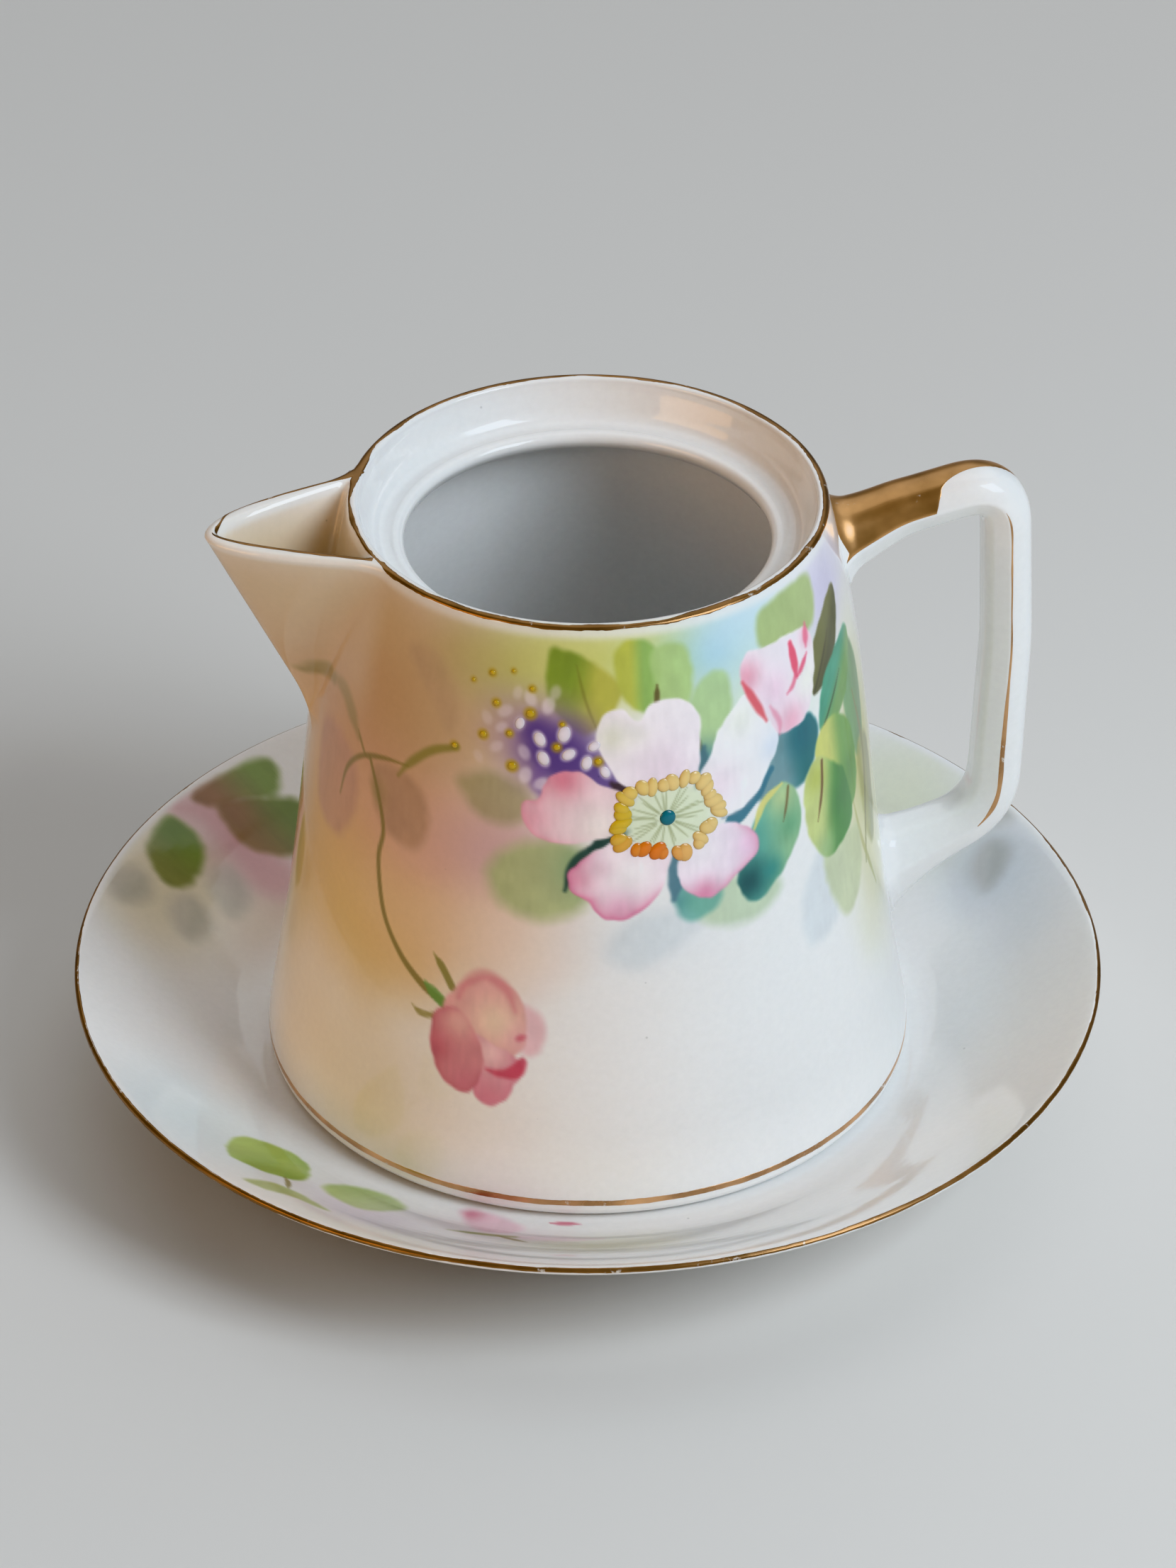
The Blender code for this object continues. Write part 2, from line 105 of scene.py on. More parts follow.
# Spout
SPOUT_ROOT_R = 39.6
SPOUT_ROOT_Z = 68.0
LIP_THICKNESS = 2.0
LIP_BACK_R = 20.0           # where the lines of the lip end, inside the jug
SPOUT_BLEND = 4.5           # softness of the fillet between spout and body
SPOUT_FALL = 30.0           # how fast the spout's reach falls beside it, in mm per radian
LIP_WIDENING = 0.7          # extra rounding where the lip leaves the rim
POCKET_ROOT_Z = SPOUT_ROOT_Z + 8.0
POUR_HOLE_X = (-30.0, -40.8)
POUR_HOLE_Z = 84.6
POUR_HOLE_HALF = (2.5, 3.0)

# Rows of the jug's wall, which are closer from the flower spray upwards
ROW_STEP = 0.38
SPRAY_ROW_STEP = 0.27
SPRAY_Z = 50.0

# Underplate: rows of its grid from the middle to the lip
PLATE_WELL_ROWS = 12
PLATE_SHOW_ROWS = 90

# Heights and radii that steer the outside of the body, from above the foot to the rim
BODY_CURVE = [(8.6, 46.9), (10.4, 47.2), (14.0, 46.7), (23.0, 45.2), (35.0, 43.4), (50.0, 41.6),
              (65.0, 40.0), (80.0, 38.0), (88.0, 36.5), (92.0, 35.6), (96.0, 34.7), (99.4, 33.9)]


# ---------------------------------------------------------------- small maths

def smooth_step(x, low=0.0, high=1.0):
    t = np.clip((x - low) / (high - low), 0.0, 1.0)
    return t * t * (3 - 2 * t)


def smooth_max(a, b, k):
    h = np.clip(0.5 + 0.5 * (a - b) / k, 0.0, 1.0)
    return b * (1 - h) + a * h + k * h * (1 - h)


def smooth_min(a, b, k):
    return -smooth_max(-a, -b, k)


def bump(x, centre, width):
    """Bell curve of height 1."""
    return np.exp(-((x - centre) / width) ** 2)


def unit(vectors):
    return vectors / np.linalg.norm(vectors, axis=-1, keepdims=True)


def value_noise(x, y, seed):
    """Smooth noise from 0 to 1 on a unit lattice, the same on every run."""
    def corner(i, j):
        h = np.sin(i * 127.1 + j * 311.7 + seed * 53.3) * 43758.5453
        return h - np.floor(h)
    xi, yi = np.floor(x), np.floor(y)
    u, v = smooth_step(x - xi), smooth_step(y - yi)
    total = 0.0
    for i in (0, 1):
        for j in (0, 1):
            total = total + (u if i else 1 - u) * (v if j else 1 - v) * corner(xi + i, yi + j)
    return total


def ring_noise(theta, lumps, seed):
    """Smooth noise from -1 to 1 round a full turn."""
    return 2 * value_noise(lumps * np.cos(theta) + 9, lumps * np.sin(theta) + 9, seed) - 1


# ---------------------------------------------------------------- lines

def lengths_along(line):
    """Length of a polyline up to each of its points."""
    return np.concatenate([[0], np.cumsum(np.linalg.norm(np.diff(line, axis=0), axis=1))])


def look_up(at, along, line):
    """Rows of a line at the given lengths along it."""
    return np.stack([np.interp(at, along, column) for column in line.T], 1)


def resample(line, count):
    """The polyline with the given number of points, equally spaced along it."""
    line = np.asarray(line, float)
    along = lengths_along(line)
    if along[-1] < 1e-6:
        return np.repeat(line[:1], count, axis=0)
    return look_up(np.linspace(0, along[-1], count), along, line)


def relax(line, rounds):
    """The polyline with its inner points drawn towards their neighbours."""
    for _ in range(rounds):
        line[1:-1] = (line[:-2] + line[1:-1] * 2 + line[2:]) / 4
    return line


def soften(points, rounds=2):
    """Corner-cutting subdivision of an open polyline."""
    run = np.asarray(points, float)
    for _ in range(rounds):
        a, b = run[:-1], run[1:]
        cut = np.stack([a * 0.75 + b * 0.25, a * 0.25 + b * 0.75], 1).reshape(-1, 2)
        run = np.concatenate([run[:1], cut, run[-1:]])
    return run


def left_of(directions):
    """Flat directions turned a quarter to the left."""
    return np.stack([-directions[:, 1], directions[:, 0]], 1)


def arc(centre, radii, start, end, count):
    """Points of an elliptical arc between two angles in degrees."""
    a = np.radians(np.linspace(start, end, count))
    return np.stack([centre[0] + radii[0] * np.cos(a), centre[1] + radii[1] * np.sin(a)], 1)


def spline_step(a, b, c, d, f):
    """Place at the share f of a smooth curve from b to c, with a before them and d after."""
    return 0.5 * (2 * b + (c - a) * f + (2 * a - 5 * b + 4 * c - d) * f ** 2
                  + (3 * b - a - 3 * c + d) * f ** 3)


def closed_spline(points, count):
    """Smooth closed curve through the points, evenly stepped in its parameter."""
    p = np.asarray(points, float)
    n = len(p)
    t = np.linspace(0, n, count, endpoint=False)
    i = np.floor(t).astype(int)
    return spline_step(p[(i - 1) % n], p[i % n], p[(i + 1) % n], p[(i + 2) % n], (t - i)[:, None])


def open_spline(points, per_span=10):
    """Smooth open curve through the points."""
    p = np.asarray(points, float)
    p = np.concatenate([[2 * p[0] - p[1]], p, [2 * p[-1] - p[-2]]])
    f = np.linspace(0, 1, per_span, endpoint=False)[:, None]
    run = [spline_step(a, b, c, d, f) for a, b, c, d in zip(p, p[1:], p[2:], p[3:])]
    return np.concatenate(run + [p[-2][None]])


def curve_through(points, softness, count=800):
    """A table (x, y) of the line through the points, smoothed over about the given length."""
    xs, ys = np.array(points, float).T
    pad = 4 * softness
    x = np.linspace(xs[0] - pad, xs[-1] + pad, count)
    slopes = np.gradient(ys, xs)
    i = np.clip(np.searchsorted(xs, x) - 1, 0, len(xs) - 2)
    span = xs[i + 1] - xs[i]
    t = np.clip((x - xs[i]) / span, 0, 1)
    y = ((2 * t ** 3 - 3 * t ** 2 + 1) * ys[i] + (t ** 3 - 2 * t ** 2 + t) * span * slopes[i]
         + (3 * t ** 2 - 2 * t ** 3) * ys[i + 1] + (t ** 3 - t ** 2) * span * slopes[i + 1])
    y = np.where(x < xs[0], ys[0] + (x - xs[0]) * slopes[0], y)
    y = np.where(x > xs[-1], ys[-1] + (x - xs[-1]) * slopes[-1], y)
    step = x[1] - x[0]
    reach = int(2.5 * softness / step)
    kernel = np.exp(-0.5 * (np.arange(-reach, reach + 1) * step / softness) ** 2)
    padded = np.pad(y, reach, mode="reflect", reflect_type="odd")
    return x, np.convolve(padded, kernel / kernel.sum(), "valid")


# ---------------------------------------------------------------- mesh helpers

def add_object(name, data):
    item = bpy.data.objects.new(name, data)
    bpy.context.scene.collection.objects.link(item)
    return item


def without_repeats(quads):
    """Quads with four different corners, and triangles from those with one corner repeated."""
    same = np.stack([quads[:, k] == quads[:, (k + 1) % 4] for k in range(4)], 1)
    single = same.sum(1) == 1
    keep = np.array([[1, 2, 3], [0, 2, 3], [0, 1, 3], [0, 1, 2]])[same[single].argmax(1)]
    return quads[~same.any(1)], np.take_along_axis(quads[single], keep, 1)


def new_mesh(name, points, faces, body, colors=None):
    """Object from points in mm and an (n, 4) array of corners; repeated corners are merged."""
    keys = np.round(points * MERGES_PER_MM).astype(np.int64)
    _, first, index = np.unique(keys, axis=0, return_index=True, return_inverse=True)
    quads, triangles = without_repeats(index.ravel()[faces])
    corners = np.concatenate([quads.ravel(), triangles.ravel()])
    used, corners = np.unique(corners, return_inverse=True)
    source = first[used]
    sizes = np.repeat([4, 3], [len(quads), len(triangles)])
    mesh = bpy.data.meshes.new(name)
    mesh.vertices.add(len(source))
    mesh.vertices.foreach_set("co", (points[source] * MM).astype(np.float32).ravel())
    mesh.loops.add(len(corners))
    mesh.loops.foreach_set("vertex_index", corners.astype(np.int32).ravel())
    mesh.polygons.add(len(sizes))
    mesh.polygons.foreach_set("loop_start", (np.cumsum(sizes) - sizes).astype(np.int32))
    mesh.update(calc_edges=True)
    mesh.validate()
    mesh.shade_smooth()
    if colors is not None:
        layer = mesh.color_attributes.new("paint", "FLOAT_COLOR", "POINT")
        rgba = np.ones((len(source), 4), np.float32)
        rgba[:, :3] = colors[source]
        layer.data.foreach_set("color", rgba.ravel())
    item = add_object(name, mesh)
    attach(item, body)
    return item


def outward(item):
    """Turn all faces of a closed mesh outwards."""
    work = bmesh.new()
    work.from_mesh(item.data)
    bmesh.ops.recalc_face_normals(work, faces=work.faces)
    work.to_mesh(item.data)
    work.free()
    return item


def grid_faces(rows, cols, wrap_cols=True, wrap_rows=False):
    """Corner numbers of the quads of a rows x cols grid of points."""
    index = np.arange(rows * cols).reshape(rows, cols)
    if wrap_cols:
        index = np.concatenate([index, index[:, :1]], 1)
    if wrap_rows:
        index = np.concatenate([index, index[:1]], 0)
    a, b = index[:-1, :-1], index[:-1, 1:]
    c, d = index[1:, 1:], index[1:, :-1]
    return np.stack([a, b, c, d], -1).reshape(-1, 4)


def grid_of(r, z):
    """Grid of radii and heights, where either may be the same along a row or a column."""
    return np.stack(np.broadcast_arrays(r, z), -1)


def turned_points(grid, theta):
    """Points of a grid at azimuths given by column or by row and column."""
    r, z = grid[..., 0], grid[..., 1]
    return np.stack([r * np.cos(theta), r * np.sin(theta), z], -1).reshape(-1, 3)


def coarse_columns(theta, rows, fine_rows, step=3):
    """Azimuths by row and column, where rows away from the fine ones keep one column in a few."""
    thinned = theta[np.arange(len(theta)) // step * step]
    grid = np.repeat(thinned[None, :], rows, 0)
    grid[slice(*fine_rows)] = theta
    return grid


def painted(grid, rows, theta, axis, paint):
    """Colours of a grid's points: white, but painted on the given rows by azimuth and one axis."""
    color = np.tile(np.array(WHITE), grid.shape[:2] + (1,))
    values = grid[slice(*rows), :, axis]
    azimuth = np.broadcast_to(np.degrees(theta)[None, :], values.shape)
    color[slice(*rows)] = paint(azimuth.ravel(), values.ravel()).reshape(values.shape + (3,))
    return linear(color.reshape(-1, 3))


# ---------------------------------------------------------------- the jug's outer shape

BODY_TABLE_Z, BODY_TABLE_R = curve_through(BODY_CURVE, 1.6)


def body_radius(z):
    return np.interp(z, BODY_TABLE_Z, BODY_TABLE_R)


def lip_plan(inset=False, count=160):
    """Half of the spout's mouth seen from above, from the tip inwards: (distance, half width)."""
    tip = TIP_R - LIP_THICKNESS if inset else TIP_R
    reach = np.linspace(0, 1, count) ** 2 * (tip - LIP_BACK_R)
    half = 1.25 * np.sqrt(reach) + 0.24 * reach if inset else 2.55 * np.sqrt(reach)
    return tip - reach, half


def spout_radius(phi, z):
    """Reach of the spout's outside at angles off the spout line (radians) and one height."""
    share = (z - SPOUT_ROOT_Z) / (TOP_Z - SPOUT_ROOT_Z)
    if share <= 0.004:
        return SPOUT_ROOT_R + (TIP_R - SPOUT_ROOT_R) * share - SPOUT_FALL * np.abs(phi)
    x, y = lip_plan()
    px = SPOUT_ROOT_R + (x - SPOUT_ROOT_R) * share
    py = y * share
    angle = np.arctan2(py, px)
    reach = np.hypot(px, py)
    beside = reach[-1] - SPOUT_FALL * (np.abs(phi) - angle[-1])
    return np.where(np.abs(phi) > angle[-1], beside, np.interp(np.abs(phi), angle, reach))


def off_spout(theta):
    """Angle off the spout line, from -pi to pi."""
    return np.angle(np.exp(1j * (theta - math.pi)))


def outer_radius(theta, z):
    """Outer skin of body and spout at azimuths theta (radians) and one height."""
    blend = SPOUT_BLEND * np.clip((z - 40) / 40, 0.2, 1)
    return smooth_max(body_radius(z), spout_radius(off_spout(theta), z), blend)


def pocket_height(phi, r):
    """Height of the surface inside the spout at one angle off the spout line, for radii r."""
    x, y = lip_plan(inset=True)
    direction = np.arctan2(y, x - SPOUT_ROOT_R)
    extent = np.hypot(x - SPOUT_ROOT_R, y)
    px, py = r * np.cos(phi) - SPOUT_ROOT_R, np.abs(r * np.sin(phi))
    gauge = np.hypot(px, py) / np.interp(np.arctan2(py, px), direction, extent)
    cone = POCKET_ROOT_Z + gauge * (TOP_Z - POCKET_ROOT_Z)
    upper = BODY_TABLE_Z > 40
    bridge = np.interp(r, BODY_TABLE_R[upper][::-1], BODY_TABLE_Z[upper][::-1])
    bridge = np.where(r < RIM_R, TOP_Z + (RIM_R - r) * 4, bridge)
    return smooth_min(smooth_max(cone, bridge, 6.5), TOP_Z, 1.6)


def lip_rounding(brim):
    """Width of the rounding of the jug's top edge, wider where the edge is out on the spout."""
    return RIM_EDGE + LIP_WIDENING * smooth_step(brim - RIM_R, 0.2, 4.0)


# ---------------------------------------------------------------- the jug as one skin

def jug_columns():
    """Azimuths of the grid's columns, closest where the painting and the spout are."""
    step = 0.05
    fine = np.radians(np.arange(0, 360, step))
    degrees = np.degrees(fine)
    spacing = np.where((degrees < 24) | (degrees > 336), 0.5, 0.75)
    for start, end, space in ((195, 348, 0.42), (235, 325, 0.32), (158, 202, 0.36), (176, 184, 0.22)):
        spacing = np.where((degrees > start) & (degrees < end), space, spacing)
    passed = np.concatenate([[0], np.cumsum(step / spacing)])
    count = int(passed[-1])
    return np.interp(np.arange(count) * passed[-1] / count, passed, np.append(fine, 2 * math.pi))


def base_profile():
    """Underside of the jug, from its middle to the outer edge of the foot."""
    recess = FOOT_Z + 1.2
    middle = [(r, recess) for r in (0.0, 12.0, 24.0, FOOT_INNER_R - 2.4)]
    bend = [(FOOT_INNER_R - 1.2, recess - 0.2), (FOOT_INNER_R - 0.6, recess - 0.6)]
    inner = arc((FOOT_INNER_R + 0.3, FOOT_Z + 0.4), (0.6, 0.4), 200, 270, 5)
    outer = arc((FOOT_FLAT_R - 0.6, FOOT_Z + 1.4), (1.7, 1.4), 280, 340, 8)
    return np.concatenate([middle, bend, inner, outer])


def inner_profile():
    """From the rim's flat top over the gallery, down the cavity to the middle of its floor."""
    rim = arc((RIM_INNER_R + 0.35, TOP_Z - 0.5), (0.5, 0.5), 90, 190, 8)
    wall = [(RIM_INNER_R - 0.45, TOP_Z - 1.6), (RIM_INNER_R - 1.1, TOP_Z - 3.2),
            (RIM_INNER_R - 1.6, TOP_Z - 4.6), (LEDGE_R + 0.3, LEDGE_Z + 0.45),
            (LEDGE_R - 0.8, LEDGE_Z - 0.02), (LEDGE_R - 1.8, LEDGE_Z + 0.1),
            (MOUTH_R + 1.5, LEDGE_Z + 0.35)]
    bead = arc((MOUTH_R + 1.1, LEDGE_Z - 0.75), (1.1, 1.1), 85, 200, 12)
    under = [(MOUTH_R + 0.5, LEDGE_Z - 2.1), (MOUTH_R + 3.5, LEDGE_Z - 3.2), (32.0, LEDGE_Z - 4.6),
             (33.6, LEDGE_Z - 6.4)]
    heights = np.linspace(LEDGE_Z - 9.5, FLOOR_Z + 8.0, 16)
    side = [(float(body_radius(z)) - WALL, z) for z in heights]
    bend_z = FLOOR_Z + FLOOR_BEND
    bend_r = float(body_radius(bend_z)) - WALL - FLOOR_BEND
    turn = arc((bend_r, bend_z), (FLOOR_BEND, FLOOR_BEND), 0, -90, 10)
    middle = [(r, FLOOR_Z) for r in (30.0, 20.0, 10.0, 0.0)]
    gallery = resample(np.concatenate([rim, soften(wall), bead]), 60)
    cavity = resample(np.concatenate([soften(under + side), turn, middle]), 90)
    return np.concatenate([gallery, cavity])


def jug_grid():
    """Azimuths and grid of the whole skin, and the first and last of the outer wall's rows."""
    theta = jug_columns()
    base, inner = (np.repeat(run[:, None], len(theta), 1) for run in (base_profile(), inner_profile()))
    wall_z = np.concatenate([np.linspace(FOOT_Z + 1.5, FOOT_Z + 4.0, 12),
                             np.arange(FOOT_Z + 4.4, SPRAY_Z, ROW_STEP),
                             np.arange(SPRAY_Z, TOP_Z - RIM_EDGE - 0.1, SPRAY_ROW_STEP), [TOP_Z - RIM_EDGE]])
    wall_r = np.stack([outer_radius(theta, z) for z in wall_z])
    a = np.radians(np.linspace(0, 90, 8)[1:])[:, None]
    edge_r = wall_r[-1] - lip_rounding(wall_r[-1]) * (1 - np.cos(a))
    edge = grid_of(edge_r, TOP_Z - RIM_EDGE * (1 - np.sin(a)))
    grid = np.concatenate([base, grid_of(wall_r, wall_z[:, None]), edge, land_rows(theta, edge_r[-1]), inner])
    return theta, grid, (len(base), len(grid) - len(inner))


def land_rows(theta, outer_edge, count=64):
    """From the lip's top edge into the spout's pocket and up the wall behind it to the rim."""
    inner_edge = RIM_R - RIM_EDGE
    phi = off_spout(theta)
    land = grid_of(np.repeat(outer_edge[None, :], count, 0), TOP_Z)
    for c in np.nonzero(outer_edge > inner_edge + 1e-4)[0]:
        fine = np.linspace(outer_edge[c], inner_edge, 400)
        line = np.stack([fine, pocket_height(float(phi[c]), fine)], 1)
        low = int(line[:, 1].argmin())
        if TOP_Z - line[low, 1] < 0.05:
            land[:, c] = resample(line, count)
        else:
            down = resample(line[:low + 1], count // 2 + 1)[:-1]
            land[:, c] = np.concatenate([down, resample(line[low:], count - count // 2)])
    return land


def build_jug():
    """The jug's skin, with its rim and foot gold."""
    theta, grid, wall_rows = jug_grid()
    points = turned_points(grid, coarse_columns(theta, len(grid), wall_rows))
    faces = grid_faces(*grid.shape[:2])[:, ::-1]
    jug = new_mesh("jug_porcelain", points, faces, "jug", painted(grid, wall_rows, theta, 1, paint_wall))
    return jug, rim_band(theta, grid, wall_rows), foot_band(theta, grid, wall_rows)


def cut_pour_hole(jug):
    """Oval opening from the spout into the cavity, below the gallery."""
    count = 40
    a = np.linspace(0, 2 * math.pi, count, endpoint=False)
    y, z = POUR_HOLE_HALF[0] * np.cos(a), POUR_HOLE_Z + POUR_HOLE_HALF[1] * np.sin(a)
    points = np.concatenate([np.stack([np.full(count, x), y, z], 1) for x in POUR_HOLE_X])
    sides = [(k, (k + 1) % count, count + (k + 1) % count, count + k) for k in range(count)]
    caps = [tuple(range(count - 1, -1, -1)), tuple(range(count, 2 * count))]
    mesh = bpy.data.meshes.new("pour_hole")
    mesh.from_pydata((points * MM).tolist(), [], sides + caps)
    cutter = add_object("pour_hole", mesh)
    boolean = jug.modifiers.new("pour_hole", "BOOLEAN")
    boolean.operation = "DIFFERENCE"
    boolean.object = cutter
    evaluated = jug.evaluated_get(bpy.context.evaluated_depsgraph_get())
    shape = bpy.data.meshes.new_from_object(evaluated)
    jug.modifiers.remove(boolean)
    jug.data = shape
    bpy.data.objects.remove(cutter, do_unlink=True)


# ---------------------------------------------------------------- painting kit

def linear(color):
    """Colours for Blender from those of a screen."""
    c = np.clip(np.asarray(color, float), 0, 1)
    return np.where(c <= 0.04045, c / 12.92, ((c + 0.055) / 1.055) ** 2.4)


def segment_distance(x, y, x0, y0, x1, y1):
    """Squared distance from points to a segment, and the share along it of the nearest place."""
    dx, dy = x1 - x0, y1 - y0
    t = np.clip(((x - x0) * dx + (y - y0) * dy) / (dx * dx + dy * dy + 1e-12), 0, 1)
    return (x - x0 - t * dx) ** 2 + (y - y0 - t * dy) ** 2, t


def signed_distance(x, y, line):
    """Distance from points to a closed polyline, positive inside it."""
    best = np.full(len(x), 1e9)
    inside = np.zeros(len(x), bool)
    for (x0, y0), (x1, y1) in zip(line, np.roll(line, -1, axis=0)):
        best = np.minimum(best, segment_distance(x, y, x0, y0, x1, y1)[0])
        crosses = (y0 > y) != (y1 > y)
        if crosses.any():
            inside ^= crosses & (x < x0 + (y - y0) * (x1 - x0) / (y1 - y0))
    return np.where(inside, 1, -1) * np.sqrt(best)


def along_line(x, y, line):
    """Distance from points to an open polyline, and the share of its length at the nearest place."""
    along = lengths_along(line)
    best, share = np.full(len(x), 1e9), np.zeros(len(x))
    for k, ((x0, y0), (x1, y1)) in enumerate(zip(line, line[1:])):
        away, t = segment_distance(x, y, x0, y0, x1, y1)
        step = math.hypot(x1 - x0, y1 - y0)
        closer = away < best
        best = np.where(closer, away, best)
        share = np.where(closer, (along[k] + t * step) / along[-1], share)
    return np.sqrt(best), share


def tinted(tint, shade, amount):
    """Tints moved towards a shade by an amount for each point."""
    return tint + (np.asarray(shade) - tint) * amount[:, None]


class Canvas:
    """Colours of a surface's points, painted in azimuth (degrees) and height up the surface (mm)."""

    def __init__(self, azimuth, up, span):
        self.azimuth = azimuth
        self.up = up
        self.span_at = span
        self.span = span(up)
        self.color = np.tile(np.array(WHITE), (len(azimuth), 1))
        self.count = 0

    def local(self, place, reach, turn=0.0):
        """Points near a place and their offsets from it in mm, along axes turned anticlockwise."""
        self.count += 1
        across = ((self.azimuth - place[0] + 180) % 360 - 180) * self.span
        rise = self.up - place[1]
        near = np.nonzero((np.abs(across) < reach) & (np.abs(rise) < reach))[0]
        x, y = across[near], rise[near]
        c, s = math.cos(math.radians(turn)), math.sin(math.radians(turn))
        return near, c * x + s * y, c * y - s * x

    def lay(self, near, cover, color):
        cover = np.clip(cover, 0, 1)[:, None]
        self.color[near] = self.color[near] * (1 - cover) + np.asarray(color) * cover

    def clean(self, cover):
        """The colours, with bare porcelain over them by an amount for each point."""
        return self.color * (1 - cover[:, None]) + np.array(WHITE) * cover[:, None]

    def wash(self, place, size, color, cover):
        """Soft airbrushed patch with the given half sizes."""
        near, x, y = self.local(place, 2.3 * max(size))
        wobble = value_noise(x / 9, y / 9, self.count) - 0.5
        away = np.hypot(x / size[0], y / size[1]) + 0.3 * wobble
        self.lay(near, cover * smooth_step(1.5 - away, 0, 1.5), color)

    def washes(self, patches):
        for patch in patches:
            self.wash(*patch)

    def shape(self, place, outline, color, turn=0.0, soft=0.3, cover=1.0, shades=(), edge=None):
        """Brushed shape with a smooth outline in mm; color is a tint or a function of x and y."""
        line = closed_spline(outline, 9 * len(outline))
        reach = float(np.hypot(*line.T).max()) + 2 * soft
        near, x, y = self.local(place, reach, turn)
        inside = signed_distance(x, y, line) + 0.35 * (value_noise(x / 1.3, y / 1.3, self.count) - 0.5)
        tint = color(x, y) if callable(color) else np.tile(np.array(color, float), (len(x), 1))
        for (sx, sy), radius, shade, strength in shades:
            tint = tinted(tint, shade, strength * np.exp(-((x - sx) ** 2 + (y - sy) ** 2) / radius ** 2))
        if edge:
            shade, width, strength, begin = edge
            amount = strength * np.exp(-np.clip(inside, 0, None) / width)
            tint = tinted(tint, shade, amount * smooth_step(np.hypot(x, y), begin, begin * 1.5 + 1))
        streaks = value_noise(x * 1.6, y * 0.45, self.count + 7) - 0.5
        mottle = value_noise(x / 2.4, y / 2.4, self.count + 13) - 0.5
        tint = tint * (1 + 0.04 * streaks + 0.06 * mottle)[:, None]
        self.lay(near, cover * smooth_step(inside, -soft, soft), np.clip(tint, 0, 1))

    def stroke(self, route, width, color, cover=1.0, soft=0.22, ends=(0.35, 0.35)):
        """Brush stroke through the places of a route; ends are its shares of width at both ends."""
        home = route[0]
        flat = [((a - home[0]) * float(self.span_at(u)), u - home[1]) for a, u in route]
        line = open_spline(flat)
        near, x, y = self.local(home, float(np.abs(line).max()) + width + 1)
        away, share = along_line(x, y, line)
        grow = ends[0] + (1 - ends[0]) * smooth_step(share, 0, 0.35)
        fade = ends[1] + (1 - ends[1]) * smooth_step(1 - share, 0, 0.35)
        self.lay(near, cover * smooth_step(width / 2 * grow * fade - away, -soft, soft), color)

    def dot(self, place, size, color, cover=1.0, turn=0.0, soft=0.25):
        near, x, y = self.local(place, max(size) + 1.5, turn)
        away = (np.hypot(x / size[0], y / size[1]) - 1) * min(size)
        self.lay(near, cover * smooth_step(-away, -soft, soft), color)


def two_tone(left, right, blend):
    """Color function that turns from one tint to the other across x = 0."""
    def color(x, _):
        share = smooth_step(x, -blend, blend)[:, None]
        return np.asarray(left) * (1 - share) + np.asarray(right) * share
    return color


def leaf(canvas, place, turn, length, width, left, right, vein=None, soft=0.4, cover=1.0):
    """Leaf that grows from its place at an angle from straight up, in two tints."""
    half = width / 2
    outline = [(0, 0), (-0.62 * half, 0.14 * length), (-half, 0.42 * length), (-0.72 * half, 0.76 * length),
               (-0.1 * half, length), (0.5 * half, 0.9 * length), (0.95 * half, 0.5 * length),
               (0.6 * half, 0.14 * length)]
    canvas.shape(place, outline, two_tone(left, right, width / 5), turn, soft, cover)
    if vein is not None:
        a = math.radians(turn)
        across = float(canvas.span_at(place[1]))
        tip = [(place[0] - math.sin(a) * length * t / across, place[1] + math.cos(a) * length * t)
               for t in (0.0, 0.3, 0.6)]
        canvas.stroke(tip, 0.45, vein, 0.75 * cover, ends=(0.9, 0.2))


# ---------------------------------------------------------------- tints

WHITE = (0.945, 0.945, 0.938)
ROSE = (0.83, 0.40, 0.50)
DEEP_ROSE = (0.76, 0.25, 0.33)
PETAL = (0.98, 0.95, 0.965)
LEAF_GREEN = (0.42, 0.62, 0.28)
DEEP_GREEN = (0.20, 0.46, 0.20)
LIME = (0.68, 0.72, 0.22)
OLIVE = (0.46, 0.45, 0.16)
KHAKI = (0.56, 0.52, 0.36)
TEAL = (0.10, 0.43, 0.44)
SEA = (0.36, 0.66, 0.60)
PALE_GREEN = (0.72, 0.81, 0.66)
PURPLE = (0.37, 0.27, 0.54)
YELLOW = (0.86, 0.72, 0.16)
ORANGE = (0.90, 0.45, 0.10)
PALE_GOLD = (0.94, 0.81, 0.52)
BROWN = (0.40, 0.26, 0.12)

FLOWER = (276.0, 70.5)      # azimuth and height of the wild rose's centre
FLOWER_RING = (7.4, 5.6)    # half width and half height of its ring of stamens
STAMENS = 30


# ---------------------------------------------------------------- painting on the jug

